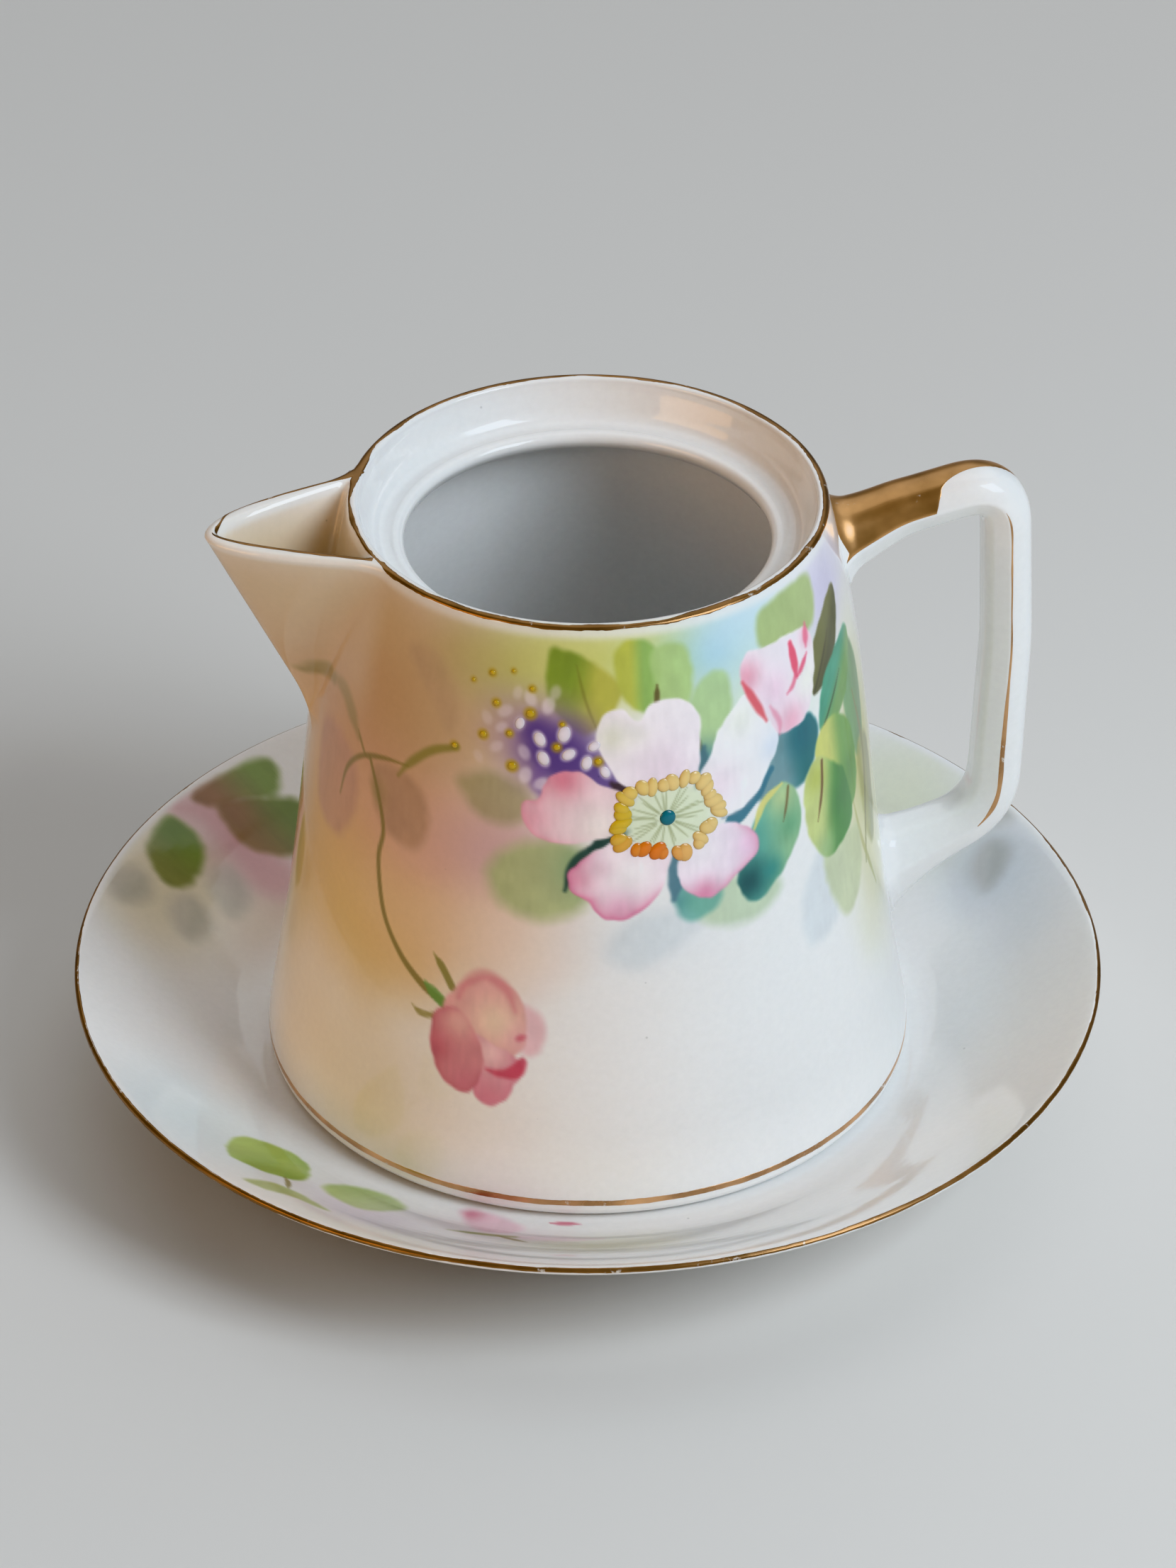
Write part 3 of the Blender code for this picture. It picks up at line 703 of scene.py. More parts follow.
def jug_washes(c):
    """Airbrushed grounds behind the spray, deepened round and under the spout and on the left as painted
    shade.
    """
    # The warm tan washes from azimuth 170 to 230 hold both the painted ground and painted shade: the shadow
    # under the spout and the dim, warm-lit left side.
    c.washes([((204, 82), (24, 18), (0.78, 0.64, 0.46), 0.75), ((190, 84), (16, 15), (0.84, 0.72, 0.53), 0.7),
              ((172, 85), (12, 13), (0.90, 0.80, 0.64), 0.5), ((207, 67), (22, 17), (0.82, 0.62, 0.50), 0.85),
              ((224, 60), (22, 19), (0.88, 0.70, 0.61), 0.9), ((192, 50), (16, 22), (0.86, 0.68, 0.38), 0.9),
              ((205, 82), (26, 14), (0.77, 0.61, 0.41), 0.7), ((176, 54), (14, 20), (0.87, 0.73, 0.50), 0.8),
              ((212, 45), (17, 11), (0.88, 0.74, 0.40), 0.8), ((226, 50), (14, 10), (0.92, 0.79, 0.62), 0.7),
              ((230, 84), (15, 11), (0.80, 0.68, 0.52), 0.7), ((243, 93), (12, 8), (0.74, 0.72, 0.46), 0.9),
              ((263, 95), (15, 8), (0.82, 0.83, 0.47), 0.95), ((279, 93), (8, 6), (0.74, 0.84, 0.54), 0.8),
              ((243, 65), (11, 8), (0.82, 0.67, 0.67), 0.8), ((243, 52), (12, 8), (0.93, 0.84, 0.76), 0.7),
              ((291, 93), (9, 7), (0.66, 0.84, 0.93), 0.95), ((304, 95), (9, 5), (0.78, 0.89, 0.93), 0.8),
              ((328, 92), (12, 9), (0.80, 0.77, 0.88), 0.8), ((300, 84), (14, 9), (0.80, 0.88, 0.76), 0.6),
              ((337, 62), (9, 20), (0.72, 0.71, 0.36), 0.9), ((341, 44), (12, 16), (0.88, 0.87, 0.68), 0.8),
              ((270, 52), (12, 6), (0.90, 0.92, 0.93), 0.7), ((203, 22), (28, 16), (0.93, 0.84, 0.69), 0.65),
              ((200, 94), (22, 7), (0.80, 0.67, 0.47), 0.6)])


def jug_back_leaves(c):
    """Pale leaves at the back of the spray and the lime leaves under the rim."""
    ghost = (0.80, 0.84, 0.86)
    c.shape((273, 50), [(-7, 0), (-3, 5), (3, 6), (7, 3), (2, -1), (-3, -3)], ghost, soft=1.6,
            cover=0.5)
    c.shape((314, 48), [(-4, -6), (-5, 2), (0, 8), (4, 4), (3, -4)], ghost, soft=1.4, cover=0.5)
    c.shape((292, 54), [(-9, 3), (-3, 5), (4, 4), (7, 0), (2, -3), (-5, -2)], PALE_GREEN, soft=1.2,
            cover=0.75)
    c.shape((282, 56), [(-2.5, 8), (1.5, 8.5), (4, 3), (3, -1), (-1, -2.5), (-3.5, 1)], SEA, soft=0.7,
            cover=0.75, shades=[((-3, 1), 2.0, TEAL, 0.6)])
    c.shape((251, 61.5), [(-6.5, 3), (-2, 5.8), (4, 6), (7.5, 2.5), (6, -4), (0, -6.5), (-5.5, -5), (-8, -1)],
            (0.68, 0.73, 0.50), soft=1.6, cover=0.85, shades=[((6, 2), 4.0, (0.40, 0.57, 0.38), 0.8)])
    c.shape((240.5, 73), [(-5.5, 1.5), (-1, 4), (4, 3), (5.5, 0), (3, -3.5), (-2, -3)],
            (0.62, 0.59, 0.42), soft=1.4, cover=0.7)
    c.shape((312.5, 93.5), [(-6, -3.5), (-6, 2.5), (1, 4), (6, 3), (5.5, -3), (0, -4.5)], (0.66, 0.74, 0.46),
            soft=0.7, cover=0.9)
    c.shape((259, 90), [(-5.2, 5.5), (-1.5, 5.2), (2.8, 3.6), (5.4, 1.2), (4.2, -3), (1.4, -6), (-2, -4.5),
                        (-4.6, -2), (-5.4, 2)],
            two_tone((0.52, 0.61, 0.22), (0.74, 0.73, 0.32), 2.2), -10, 0.6)
    c.stroke([(257.5, 94), (259.5, 89), (262, 84.6)], 0.4, OLIVE, 0.5)
    c.shape((271, 92), [(-2.9, 3.8), (-0.5, 5.4), (2.4, 4), (3.2, -0.5), (1.2, -5), (-1.8, -3.4),
                        (-3.1, 0.5)], two_tone((0.74, 0.76, 0.32), (0.58, 0.73, 0.38), 1.2), soft=0.5)
    c.shape((279, 90.5), [(-2.6, 4.8), (1.8, 5.2), (3, 0.5), (1.2, -6), (-1.4, -5.4), (-2.6, -1)],
            (0.68, 0.80, 0.50), soft=0.6, cover=0.9)
    c.stroke([(275.4, 90.5), (275.0, 86.8)], 0.8, (0.36, 0.30, 0.12), 0.85)
    c.shape((286.5, 83), [(-2, -6.5), (-3.2, 0), (-1.5, 6), (3, 7.5), (4, 2), (1.5, -4)], (0.68, 0.80, 0.56),
            soft=0.6, cover=0.9, shades=[((-1, -5), 2.6, (0.25, 0.50, 0.54), 0.95)])
    c.stroke([(283.8, 82), (284.4, 79.4)], 0.6, (0.34, 0.34, 0.20), 0.8)


def jug_right_leaves(c):
    """Leaves between the flower and the handle, from the back to the front."""
    c.shape((334, 73), [(-3.5, 7), (0, 10.5), (3.4, 5), (4, -2), (2.4, -8.5), (-0.6, -9.5), (-3.4, -4)],
            two_tone((0.46, 0.64, 0.44), (0.32, 0.50, 0.26), 2.0), soft=0.5, cover=0.95)
    c.shape((337, 57), [(-3.2, 6), (0, 9), (3.4, 5), (3.6, -3), (1.4, -10), (-1.8, -7)],
            two_tone((0.62, 0.62, 0.30), (0.48, 0.50, 0.24), 2.0), soft=0.8, cover=0.85)
    leaf(c, (316.5, 80), -42, 15.5, 7, (0.42, 0.42, 0.22), (0.30, 0.30, 0.14), (0.24, 0.22, 0.10), 0.3)
    leaf(c, (317.5, 73.5), -50, 16, 8.5, (0.26, 0.60, 0.48), (0.44, 0.62, 0.34), (0.16, 0.26, 0.12), 0.35)
    c.shape((308, 73.5), [(-6, 5), (0, 5.5), (4.5, 4), (5.5, 0), (2, -5), (-4, -5), (-8, -4), (-8, 1)],
            two_tone((0.46, 0.60, 0.62), TEAL, 2.5), soft=0.5,
            shades=[((2, 2), 3.5, (0.08, 0.40, 0.46), 0.8)])
    c.stroke([(288, 66), (294, 69.5), (301, 73)], 3.2, (0.22, 0.46, 0.54), 0.95)
    c.stroke([(334, 74), (337, 62), (332, 46)], 1.0, (0.46, 0.45, 0.18), 0.8)
    c.stroke([(328, 58), (331, 50), (337, 40)], 0.9, (0.70, 0.70, 0.42), 0.8)
    c.shape((321.5, 49), [(-4.5, 6), (-4.5, 0), (-1, -6.5), (3, -6), (6, -1), (5, 5)], (0.76, 0.80, 0.62),
            soft=0.8, cover=0.8)
    c.shape((322.5, 65.5), [(-5.5, 6), (-2, 9), (3, 7.5), (6, 2), (5.5, -6), (1, -8), (-3, -2)],
            two_tone((0.80, 0.81, 0.44), LEAF_GREEN, 2.4), soft=0.35,
            shades=[((3.5, -2), 3.0, (0.30, 0.52, 0.22), 0.7)])
    c.shape((318, 61.5), [(-6.2, 5.5), (-3, 8.5), (0.5, 6.5), (4.5, 3.5), (7, -4), (3.5, -7), (-1.5, -7.5),
                          (-5.5, -2)], two_tone((0.78, 0.82, 0.52), (0.24, 0.53, 0.20), 2.4), -8, 0.35,
            shades=[((-1, -6.5), 2.8, (0.60, 0.74, 0.52), 0.7), ((3.5, 0), 3.0, DEEP_GREEN, 0.7),
                    ((-3.5, 5.5), 2.4, (0.72, 0.76, 0.34), 0.8)])
    c.stroke([(316.5, 69.3), (315.6, 65), (313.4, 60.5)], 0.6, BROWN, 0.85, ends=(1.0, 0.2))
    c.shape((300, 61.5), [(-3, 4.5), (0.5, 8.2), (3.8, 8), (5.8, 4), (5.2, -0.5), (1.5, -5), (-3.5, -8),
                          (-6.3, -4.5), (-5.4, 1)], two_tone(SEA, (0.56, 0.74, 0.56), 3.5), 0, 0.35,
            shades=[((-4.5, -4.5), 3.4, (0.10, 0.32, 0.33), 0.95), ((2, 6.5), 2.6, (0.76, 0.82, 0.58), 0.7),
                    ((-0.5, -4), 2.0, (0.16, 0.52, 0.50), 0.7), ((3.4, 1.5), 2.2, (0.34, 0.62, 0.46), 0.6)])
    c.stroke([(295.6, 65), (298.5, 68.5), (303.5, 70)], 1.2, (0.86, 0.84, 0.50), 0.95)
    c.stroke([(305.2, 69), (304.4, 66.5), (303.2, 64)], 0.45, BROWN, 0.7, ends=(1.0, 0.2))


# Tiny blossoms over the purple ground: (azimuth, height, half size, strength)
BRIGHT_BLOSSOMS = [
    (249.8, 83, 1.05, 1.0), (255, 84, 1.2, 0.85), (256, 81, 1.0, 0.95), (250.7, 80.2, 1.05, 0.95),
    (259.8, 79.8, 1.0, 0.95), (261.4, 82.3, 0.9, 0.85), (263.6, 78.4, 0.9, 0.9), (245.4, 85, 0.9, 0.6)]
FAINT_BLOSSOMS = [
    (242, 86.5, 1.0, 0.4), (247.5, 88.8, 1.0, 0.5), (251.5, 88, 1.1, 0.55), (240.5, 81, 0.9, 0.35),
    (246.6, 80.8, 1.0, 0.5), (247, 77.4, 1.1, 0.55), (250.4, 76.4, 1.0, 0.6), (238, 85, 0.9, 0.3),
    (244.6, 89.4, 0.8, 0.35), (241.4, 84, 0.8, 0.4), (236.6, 79, 0.8, 0.25), (253, 90, 0.9, 0.4),
    (257.4, 77.2, 0.8, 0.6)]

# Yellow centres: (azimuth, height, half size)
BLOSSOM_CENTRES = [
    (247.6, 86.6, 0.95), (253.5, 82, 0.75), (262.2, 80, 0.8), (244.1, 78.5, 0.95), (237.4, 82.4, 0.8),
    (243.2, 83.3, 0.65), (239.9, 87.4, 0.7), (238.5, 91.6, 0.6), (254.6, 85.4, 0.55), (247.8, 90.2, 0.6),
    (243.4, 92.4, 0.4), (234.2, 90, 0.4), (231, 79.6, 0.7)]


def blossom_turn(k):
    """Slant of a blossom in degrees, in turn over three."""
    return 25 - 40 * (k % 3)


def jug_blossoms(c):
    """Purple ground with tiny white blossoms and yellow centres."""
    c.wash((250, 83), (8, 7), (0.66, 0.54, 0.64), 0.9)
    c.wash((254, 81.5), (6, 5), PURPLE, 1.0)
    c.stroke([(249, 84), (254, 80), (260, 78.5), (266.5, 75)], 5.0, PURPLE, 0.9, soft=1.6, ends=(0.8, 0.7))
    c.stroke([(251, 80), (249.5, 76.5), (250.5, 74.5)], 2.0, (0.48, 0.36, 0.62), 0.7, soft=0.9)
    c.stroke([(265, 76.6), (268.5, 74.6)], 2.0, (0.22, 0.15, 0.14), 0.8, soft=0.4)
    for k, (azimuth, height, size, strength) in enumerate(BRIGHT_BLOSSOMS + FAINT_BLOSSOMS):
        half = (size * 0.8, size * 1.15)
        c.dot((azimuth, height), half, (0.95, 0.90, 0.93), strength, blossom_turn(k), 0.35)
    for azimuth, height, size in BLOSSOM_CENTRES:
        c.dot((azimuth, height), (size, size), (0.72, 0.60, 0.14), 0.8, soft=0.4)


def filament(angle, reach):
    """Azimuth and height at a distance from the flower's centre, flattened like its ring."""
    across = math.radians(1) * float(body_radius(FLOWER[1]))
    return (FLOWER[0] + 1.15 * reach * math.cos(angle) / across, FLOWER[1] + 0.95 * reach * math.sin(angle))


def jug_flower(c):
    """The open wild rose: five petals, a pale disc and fine filaments."""
    dark = (0.13, 0.25, 0.22)
    c.stroke([(260.5, 66.6), (264, 68), (268.5, 69.2)], 2.4, dark, 0.95, soft=0.4)
    c.stroke([(255.5, 60), (257.5, 64.5), (262.5, 67.5)], 1.4, dark, 0.9, soft=0.4)
    c.stroke([(277.5, 65), (277.8, 61), (277.2, 57.5)], 2.4, (0.34, 0.50, 0.56), 0.95, soft=0.4)
    c.stroke([(285, 80), (284, 77), (282.8, 74)], 2.2, (0.30, 0.46, 0.50), 0.95, soft=0.4)
    c.stroke([(288.5, 68.6), (293, 69.6), (297.5, 71)], 1.6, (0.44, 0.56, 0.62), 0.9, soft=0.4)
    c.shape(FLOWER, [(-5.5, 5.5), (-8, 9), (-9.3, 13), (-8, 16.5), (-5.5, 17), (-3.4, 15.2), (-1.5, 17.2),
                     (1, 17.8), (4, 16.8), (5.6, 14), (5.4, 10), (4.5, 4.5), (0, 3)], PETAL, soft=0.25,
            shades=[((0, 7), 5.0, (0.95, 0.86, 0.92), 0.6), ((-7, 13), 2.4, (0.86, 0.87, 0.76), 0.6),
                    ((-3.6, 13), 1.8, (0.88, 0.88, 0.83), 0.45)])
    c.shape(FLOWER, [(4.8, 4.5), (7, 8), (8.2, 11.2), (10.5, 13.6), (13, 15.4), (14.8, 13.6), (16.6, 11.4),
                     (18.4, 9), (18.2, 5.2), (16.4, 3), (15, 0.5), (12, -1.3), (8.7, -1.8), (5, 0)],
            (0.985, 0.98, 0.985), soft=0.25,
            shades=[((8, 3), 3.6, (0.96, 0.87, 0.92), 0.65), ((12, 12), 2.6, (0.90, 0.92, 0.84), 0.5),
                    ((17.5, 6), 2.4, (0.86, 0.90, 0.96), 0.7)])
    c.shape(FLOWER, [(-5, 3.5), (-9.4, 6.2), (-11, 7.6), (-13.8, 8.1), (-16.2, 6.8), (-17.2, 4.4), (-18, 3.3),
                     (-19.6, 3), (-20.3, 1.2), (-19.5, -1.2), (-17.3, -2.8), (-14.2, -3.2), (-10.6, -2.7),
                     (-7, -1.5)], (0.95, 0.84, 0.86), soft=0.25,
            shades=[((-14.2, 6.8), 3.0, (0.86, 0.50, 0.58), 0.9), ((-19, 0.6), 3.0, (0.91, 0.64, 0.71), 0.75),
                    ((-9, -0.6), 3.6, (0.98, 0.94, 0.92), 0.9)], edge=((0.88, 0.52, 0.61), 0.6, 0.65, 11))
    c.shape(FLOWER, [(-6, -2.5), (-9, -3.6), (-11.4, -5.2), (-13.5, -7), (-14.1, -9), (-13.2, -11),
                     (-11.2, -12.3), (-10.2, -14.1), (-8.2, -15.2), (-6, -15.2), (-3.5, -13.8), (-1.3, -11.4),
                     (0, -8.6), (0.6, -5.5), (-2, -4)], (0.97, 0.90, 0.93), soft=0.25,
            shades=[((-5, -8), 3.5, (0.985, 0.96, 0.965), 0.9), ((-7, -13.5), 2.4, (0.89, 0.62, 0.74), 0.6),
                    ((-12.5, -8.5), 2.2, (0.90, 0.62, 0.71), 0.75),
                    ((-9.4, -7), 1.6, (0.93, 0.80, 0.85), 0.6)],
            edge=((0.85, 0.42, 0.58), 0.9, 0.9, 9))
    c.shape(FLOWER, [(2, -4.5), (1.6, -9.2), (2.3, -11.6), (4.7, -13.6), (7.3, -13.7), (9.8, -12.2),
                     (11.5, -11), (13.8, -9.5), (14.4, -7.6), (13.2, -5.4), (10.6, -3.4), (7, -2.8), (4, -3)],
            (0.965, 0.91, 0.95), soft=0.25,
            shades=[((5, -6), 3.2, (0.985, 0.96, 0.975), 0.8), ((13, -7.5), 2.4, (0.93, 0.77, 0.87), 0.8),
                    ((5.5, -13), 2.2, (0.89, 0.55, 0.68), 0.85)], edge=((0.87, 0.50, 0.64), 0.7, 0.7, 9))
    c.dot((FLOWER[0] + 0.8, FLOWER[1]), (6.8, 5.2), (0.88, 0.92, 0.80), 0.95, soft=1.2)
    for k in range(26):
        a = math.radians(k * 360 / 26 + 5 * math.sin(k * 2.3))
        tip = 4.8 + 0.8 * math.sin(k * 1.7)
        route = [filament(a, share * tip) for share in (0.28, 0.6, 1.0)]
        c.stroke(route, 0.26, (0.55, 0.58, 0.38), 0.5, soft=0.14, ends=(1.0, 0.6))


def jug_bud(c):
    """Half-open pink rosebud at the right, under the rim."""
    home = (306.5, 85)
    c.shape(home, [(-7, 4.3), (-5.4, 6.4), (-2.5, 6.3), (2.2, 6), (6.4, 5.4), (8, 2), (7, -2.7), (4.4, -6.9),
                   (1, -7.8), (-2, -7), (-3.6, -3.6), (-6.4, 0.5)], (0.965, 0.93, 0.95), soft=0.25,
            shades=[((-6, 3), 2.6, (0.93, 0.62, 0.70), 0.85), ((1, -6.5), 3.0, (0.93, 0.66, 0.74), 0.8),
                    ((-1.5, -0.5), 3.0, (0.95, 0.80, 0.87), 0.7), ((5.5, -2), 2.5, (0.95, 0.95, 0.90), 0.8),
                    ((6.5, 4), 1.6, (0.93, 0.66, 0.74), 0.7)])
    c.stroke([(295.8, 87.6), (298.5, 84), (301, 80.6)], 1.3, (0.86, 0.30, 0.34), 0.85, soft=0.35)
    c.stroke([(302.4, 82.4), (304.5, 79.5), (304.2, 77.6)], 0.9, (0.90, 0.56, 0.66), 0.7, soft=0.35)
    c.stroke([(311, 89.6), (311.4, 86.8), (311.4, 84.6)], 1.5, (0.90, 0.28, 0.40), 0.9, soft=0.3,
             ends=(0.6, 0.5))
    c.stroke([(311.8, 85.4), (310, 83.6), (307.8, 82.8)], 0.8, (0.90, 0.40, 0.52), 0.8, soft=0.3)
    c.stroke([(317.2, 90.8), (316.2, 87.6)], 1.2, (0.91, 0.42, 0.54), 0.85, soft=0.35)
    c.stroke([(316, 86.6), (313.6, 85.2), (311.6, 84.2)], 0.9, (0.90, 0.30, 0.44), 0.85, soft=0.3)


def jug_left_spray(c):
    """Trailing stems and the drooping rose to the left of the flower."""
    stem = (0.52, 0.46, 0.20)
    c.shape((217.5, 67), [(-5, 4), (-4.5, -1), (-1, -5), (4, -5.5), (6, -1), (4, 4), (-1, 5.5)],
            (0.70, 0.56, 0.44), soft=1.2, cover=0.7, shades=[((-5, 0), 2.4, OLIVE, 0.75)])
    c.shape((197, 64), [(-6, 6), (0, 8), (5, 5), (6, -2), (2, -8), (-5, -6)], (0.74, 0.56, 0.48), soft=1.4,
            cover=0.6)
    c.shape((225, 87), [(-5, 4), (0, 5), (4, -1), (3, -6), (0, -2)], (0.74, 0.62, 0.50), soft=1.2, cover=0.45)
    c.stroke([(199.6, 62.6), (201.4, 67.5), (206, 71), (213, 73), (219.9, 73.8)], 0.8, stem, 0.8)
    c.stroke([(217.5, 71.6), (219.9, 74), (225.5, 77.6), (231.5, 79.4)], 1.3, (0.54, 0.52, 0.22), 0.75,
             soft=0.4, ends=(0.3, 0.8))
    c.stroke([(183, 76.5), (187.5, 78), (191.5, 77.8)], 2.4, (0.54, 0.48, 0.24), 0.65, soft=0.7,
             ends=(0.5, 0.5))
    c.stroke([(191.5, 78.6), (198, 78), (204.5, 73.5)], 2.4, (0.56, 0.50, 0.26), 0.6, soft=0.8,
             ends=(0.5, 0.3))
    c.stroke([(204, 74.6), (207, 71.8), (208.5, 71.4)], 0.5, stem, 0.7)
    c.stroke([(208.9, 71.8), (212.6, 66.6), (214.6, 61.8), (213.8, 56.9), (216.1, 49.4), (220.8, 44.2),
              (226.5, 40.7), (231.6, 38.8)], 0.8, stem, 0.85, ends=(0.7, 1.6))
    c.stroke([(227.5, 41), (230, 39.6), (232.5, 38.4)], 1.8, LEAF_GREEN, 0.8, ends=(0.4, 1.0))
    c.stroke([(228.9, 46.2), (231, 44.4), (233.4, 41.6)], 1.2, (0.50, 0.48, 0.20), 0.8, ends=(0.15, 1.0))
    c.stroke([(224.7, 36.8), (227, 36), (230.4, 36.4)], 1.0, (0.56, 0.52, 0.24), 0.75, ends=(0.1, 1.0))
    jug_drooping_rose(c, (239.5, 35))


def jug_drooping_rose(c, home):
    """Rose that hangs from the trailing stem: one cupped petal above, two folded ones below."""
    c.shape(home, [(5.2, 5.6), (8.2, 5.4), (9.4, 2.6), (8.8, -0.8), (6.2, -1.4)], (0.91, 0.71, 0.74),
            soft=0.8, cover=0.75)
    c.shape(home, [(-5.8, 2.9), (-4.3, 6.3), (-1.9, 8.9), (1.9, 9.9), (5.1, 8), (6.6, 4.4), (6.4, -0.6),
                   (3.4, -3.1), (-1.2, -2)], (0.89, 0.66, 0.65), soft=0.4,
            shades=[((2.2, 2.8), 4.0, (0.95, 0.85, 0.74), 0.9), ((5.8, 0.5), 2.2, (0.90, 0.68, 0.70), 0.6)])
    c.stroke([(234.8, 40.4), (236.2, 43), (240, 45), (244.2, 43.4), (246.2, 40)], 1.7,
             (0.83, 0.50, 0.52), 0.6, soft=0.7)
    c.shape(home, [(-1.2, 0), (2.4, -1), (5.9, -2.6), (6.4, -5), (5.2, -7), (4.3, -9), (2.1, -10.6),
                   (-0.3, -9.4), (-0.9, -4.9)], (0.88, 0.62, 0.66), soft=0.35,
            shades=[((1.6, -2.2), 2.4, (0.94, 0.80, 0.78), 0.8), ((1.6, -9.2), 2.4, (0.84, 0.50, 0.56), 0.7)],
            edge=((0.82, 0.46, 0.54), 0.7, 0.6, 4))
    c.shape(home, [(-7.7, -1), (-6.9, 2.3), (-3.8, 3.6), (-1.0, 0.9), (0.6, -3.4), (0.1, -7.3), (-2.1, -9.4),
                   (-4.8, -8.6), (-7.2, -5.3)], (0.85, 0.56, 0.58), soft=0.35,
            shades=[((-3.2, 1.4), 2.4, (0.91, 0.72, 0.68), 0.8), ((-6.8, -3.6), 2.4, (0.76, 0.38, 0.44), 0.8),
                    ((-2.2, -7.6), 2.2, (0.80, 0.46, 0.52), 0.6)], edge=((0.76, 0.38, 0.44), 0.8, 0.7, 4))
    c.shape(home, [(0.9, -4.9), (2.8, -4.7), (4.6, -3.8), (6.2, -2.2), (7.0, -3.0), (6.6, -4.9), (4.8, -5.9),
                   (2.6, -5.7)], (0.79, 0.28, 0.37), soft=0.4, cover=0.85)
    c.dot((247.4, 35.9), (0.8, 0.5), (0.80, 0.36, 0.44), 0.7, 30, 0.35)


def small_rose(c, home, size):
    """Loose pink rose, seen half open: a cupped outline, two folds and a spiral heart."""
    ring = [(-6.5, 0), (-5.5, 5), (-2, 7), (0.5, 6), (3, 7), (6.2, 4.5), (6.6, -0.5), (4, -5), (0, -6.4),
            (-4.6, -4.6)]
    outline = [(x * size, y * size) for x, y in ring]
    span = float(c.span_at(home[1]))
    shades = [((0, 1.5 * size), 3.5 * size, (0.97, 0.92, 0.90), 0.8),
              ((-4.5 * size, -2 * size), 3 * size, ROSE, 0.8),
              ((4 * size, -3 * size), 2.5 * size, (0.88, 0.58, 0.68), 0.7)]
    c.shape(home, outline, (0.94, 0.82, 0.85), soft=0.3, shades=shades,
            edge=((0.84, 0.46, 0.58), 0.7, 0.8, 4 * size))
    folds = [([(-5.0, 3.2), (-4.2, -0.6), (-1.6, -3.2), (1.6, -4.6)], 0.8, ROSE),
             ([(5.2, 4.0), (4.9, 0.8), (3.2, -1.8), (0.6, -2.6)], 0.7, (0.87, 0.52, 0.60)),
             ([(-2.6, 4.6), (0.4, 5.0), (2.6, 3.4), (2.0, 1.2), (-0.2, 0.8), (-1.4, 2.2)], 0.6, DEEP_ROSE)]
    for places, width, tint in folds:
        bend = [(home[0] + x * size / span, home[1] + y * size) for x, y in places]
        c.stroke(bend, width * size, tint, 0.65, soft=0.35)


def jug_back_spray(c):
    """Small spray on the far side."""
    c.wash((80, 66), (22, 20), (0.88, 0.86, 0.66), 0.8)
    c.wash((110, 56), (20, 18), (0.92, 0.78, 0.70), 0.7)
    c.wash((60, 84), (16, 10), (0.74, 0.86, 0.90), 0.7)
    leaf(c, (92, 60), 52, 16, 8, LIME, (0.52, 0.66, 0.30), OLIVE, 0.5, 0.9)
    leaf(c, (88, 58), -58, 15, 8, (0.56, 0.74, 0.56), (0.34, 0.58, 0.36), (0.24, 0.34, 0.16), 0.5, 0.9)
    leaf(c, (96, 52), 118, 13, 7, (0.72, 0.78, 0.58), KHAKI, None, 0.8, 0.7)
    c.stroke([(90, 58), (84, 48), (86, 38), (92, 31)], 0.9, (0.45, 0.41, 0.14), 0.9, ends=(0.6, 1.2))
    small_rose(c, (90, 66), 1.0)
    small_rose(c, (93, 27), 0.62)


def paint_wall(azimuth, height):
    """Colours of points on the jug's outer wall, left bare at the rim, spout and handle roots."""
    c = Canvas(azimuth, height, lambda z: np.radians(1) * body_radius(z))
    for step in (jug_washes, jug_back_leaves, jug_right_leaves, jug_blossoms, jug_left_spray, jug_flower,
                 jug_bud, jug_back_spray):
        step(c)
    rim = smooth_step(height, TOP_Z - 2.4, TOP_Z - 0.8) * 0.75
    phi = np.abs((azimuth % 360) - 180)
    spout = smooth_step(height, 72, 84) * smooth_step(30 - phi, 0, 10) * 0.3
    root = np.degrees(np.abs(np.angle(np.exp(1j * np.radians(azimuth)))))
    arms = smooth_step(height, 78, 84) + smooth_step(44 - height, 0, 5)
    joint = smooth_step(17 - root, 0, 6) * arms * 0.8
    return c.clean(np.maximum(np.maximum(rim, spout), np.clip(joint, 0, 0.8)))


# ---------------------------------------------------------------- underplate

def plate_profile():
    """Closed outline of the underplate: top side from the middle to the lip, then the underside."""
    rise = soften([(47.5, WELL_Z), (51.0, WELL_Z + 0.5), (56.0, WELL_Z + 2.9), (62.0, WELL_Z + 6.0),
                   (68.0, WELL_Z + 9.6), (PLATE_R - 1.8, PLATE_Z - 0.6), (PLATE_R - 0.75, PLATE_Z - 0.12)])
    lip = arc((PLATE_R - 0.62, PLATE_Z - 0.6), (0.62, 0.6), 75, -60, 12)
    under = soften([(PLATE_R - 0.9, PLATE_Z - 1.35), (66.5, 13.2), (57.0, 7.4), (50.0, 4.4), (46.0, 2.7)])
    ring = arc((43.5, 0.9), (1.6, 0.9), 10, -190, 16)
    inner = soften([(41.6, 2.2), (40.8, 3.3), (39.0, WELL_Z - 3.4), (30.0, WELL_Z - 3.4)])
    top = resample([(0.0, WELL_Z), (20.0, WELL_Z), (44.0, WELL_Z)], PLATE_WELL_ROWS)
    show = resample(np.concatenate([[(44.4, WELL_Z)], rise]), PLATE_SHOW_ROWS)
    back = resample(np.concatenate([lip, under, ring, inner]), 110)
    end = resample([(29.0, WELL_Z - 3.4), (0.0, WELL_Z - 3.4)], 8)
    return np.concatenate([top, show, back, end])


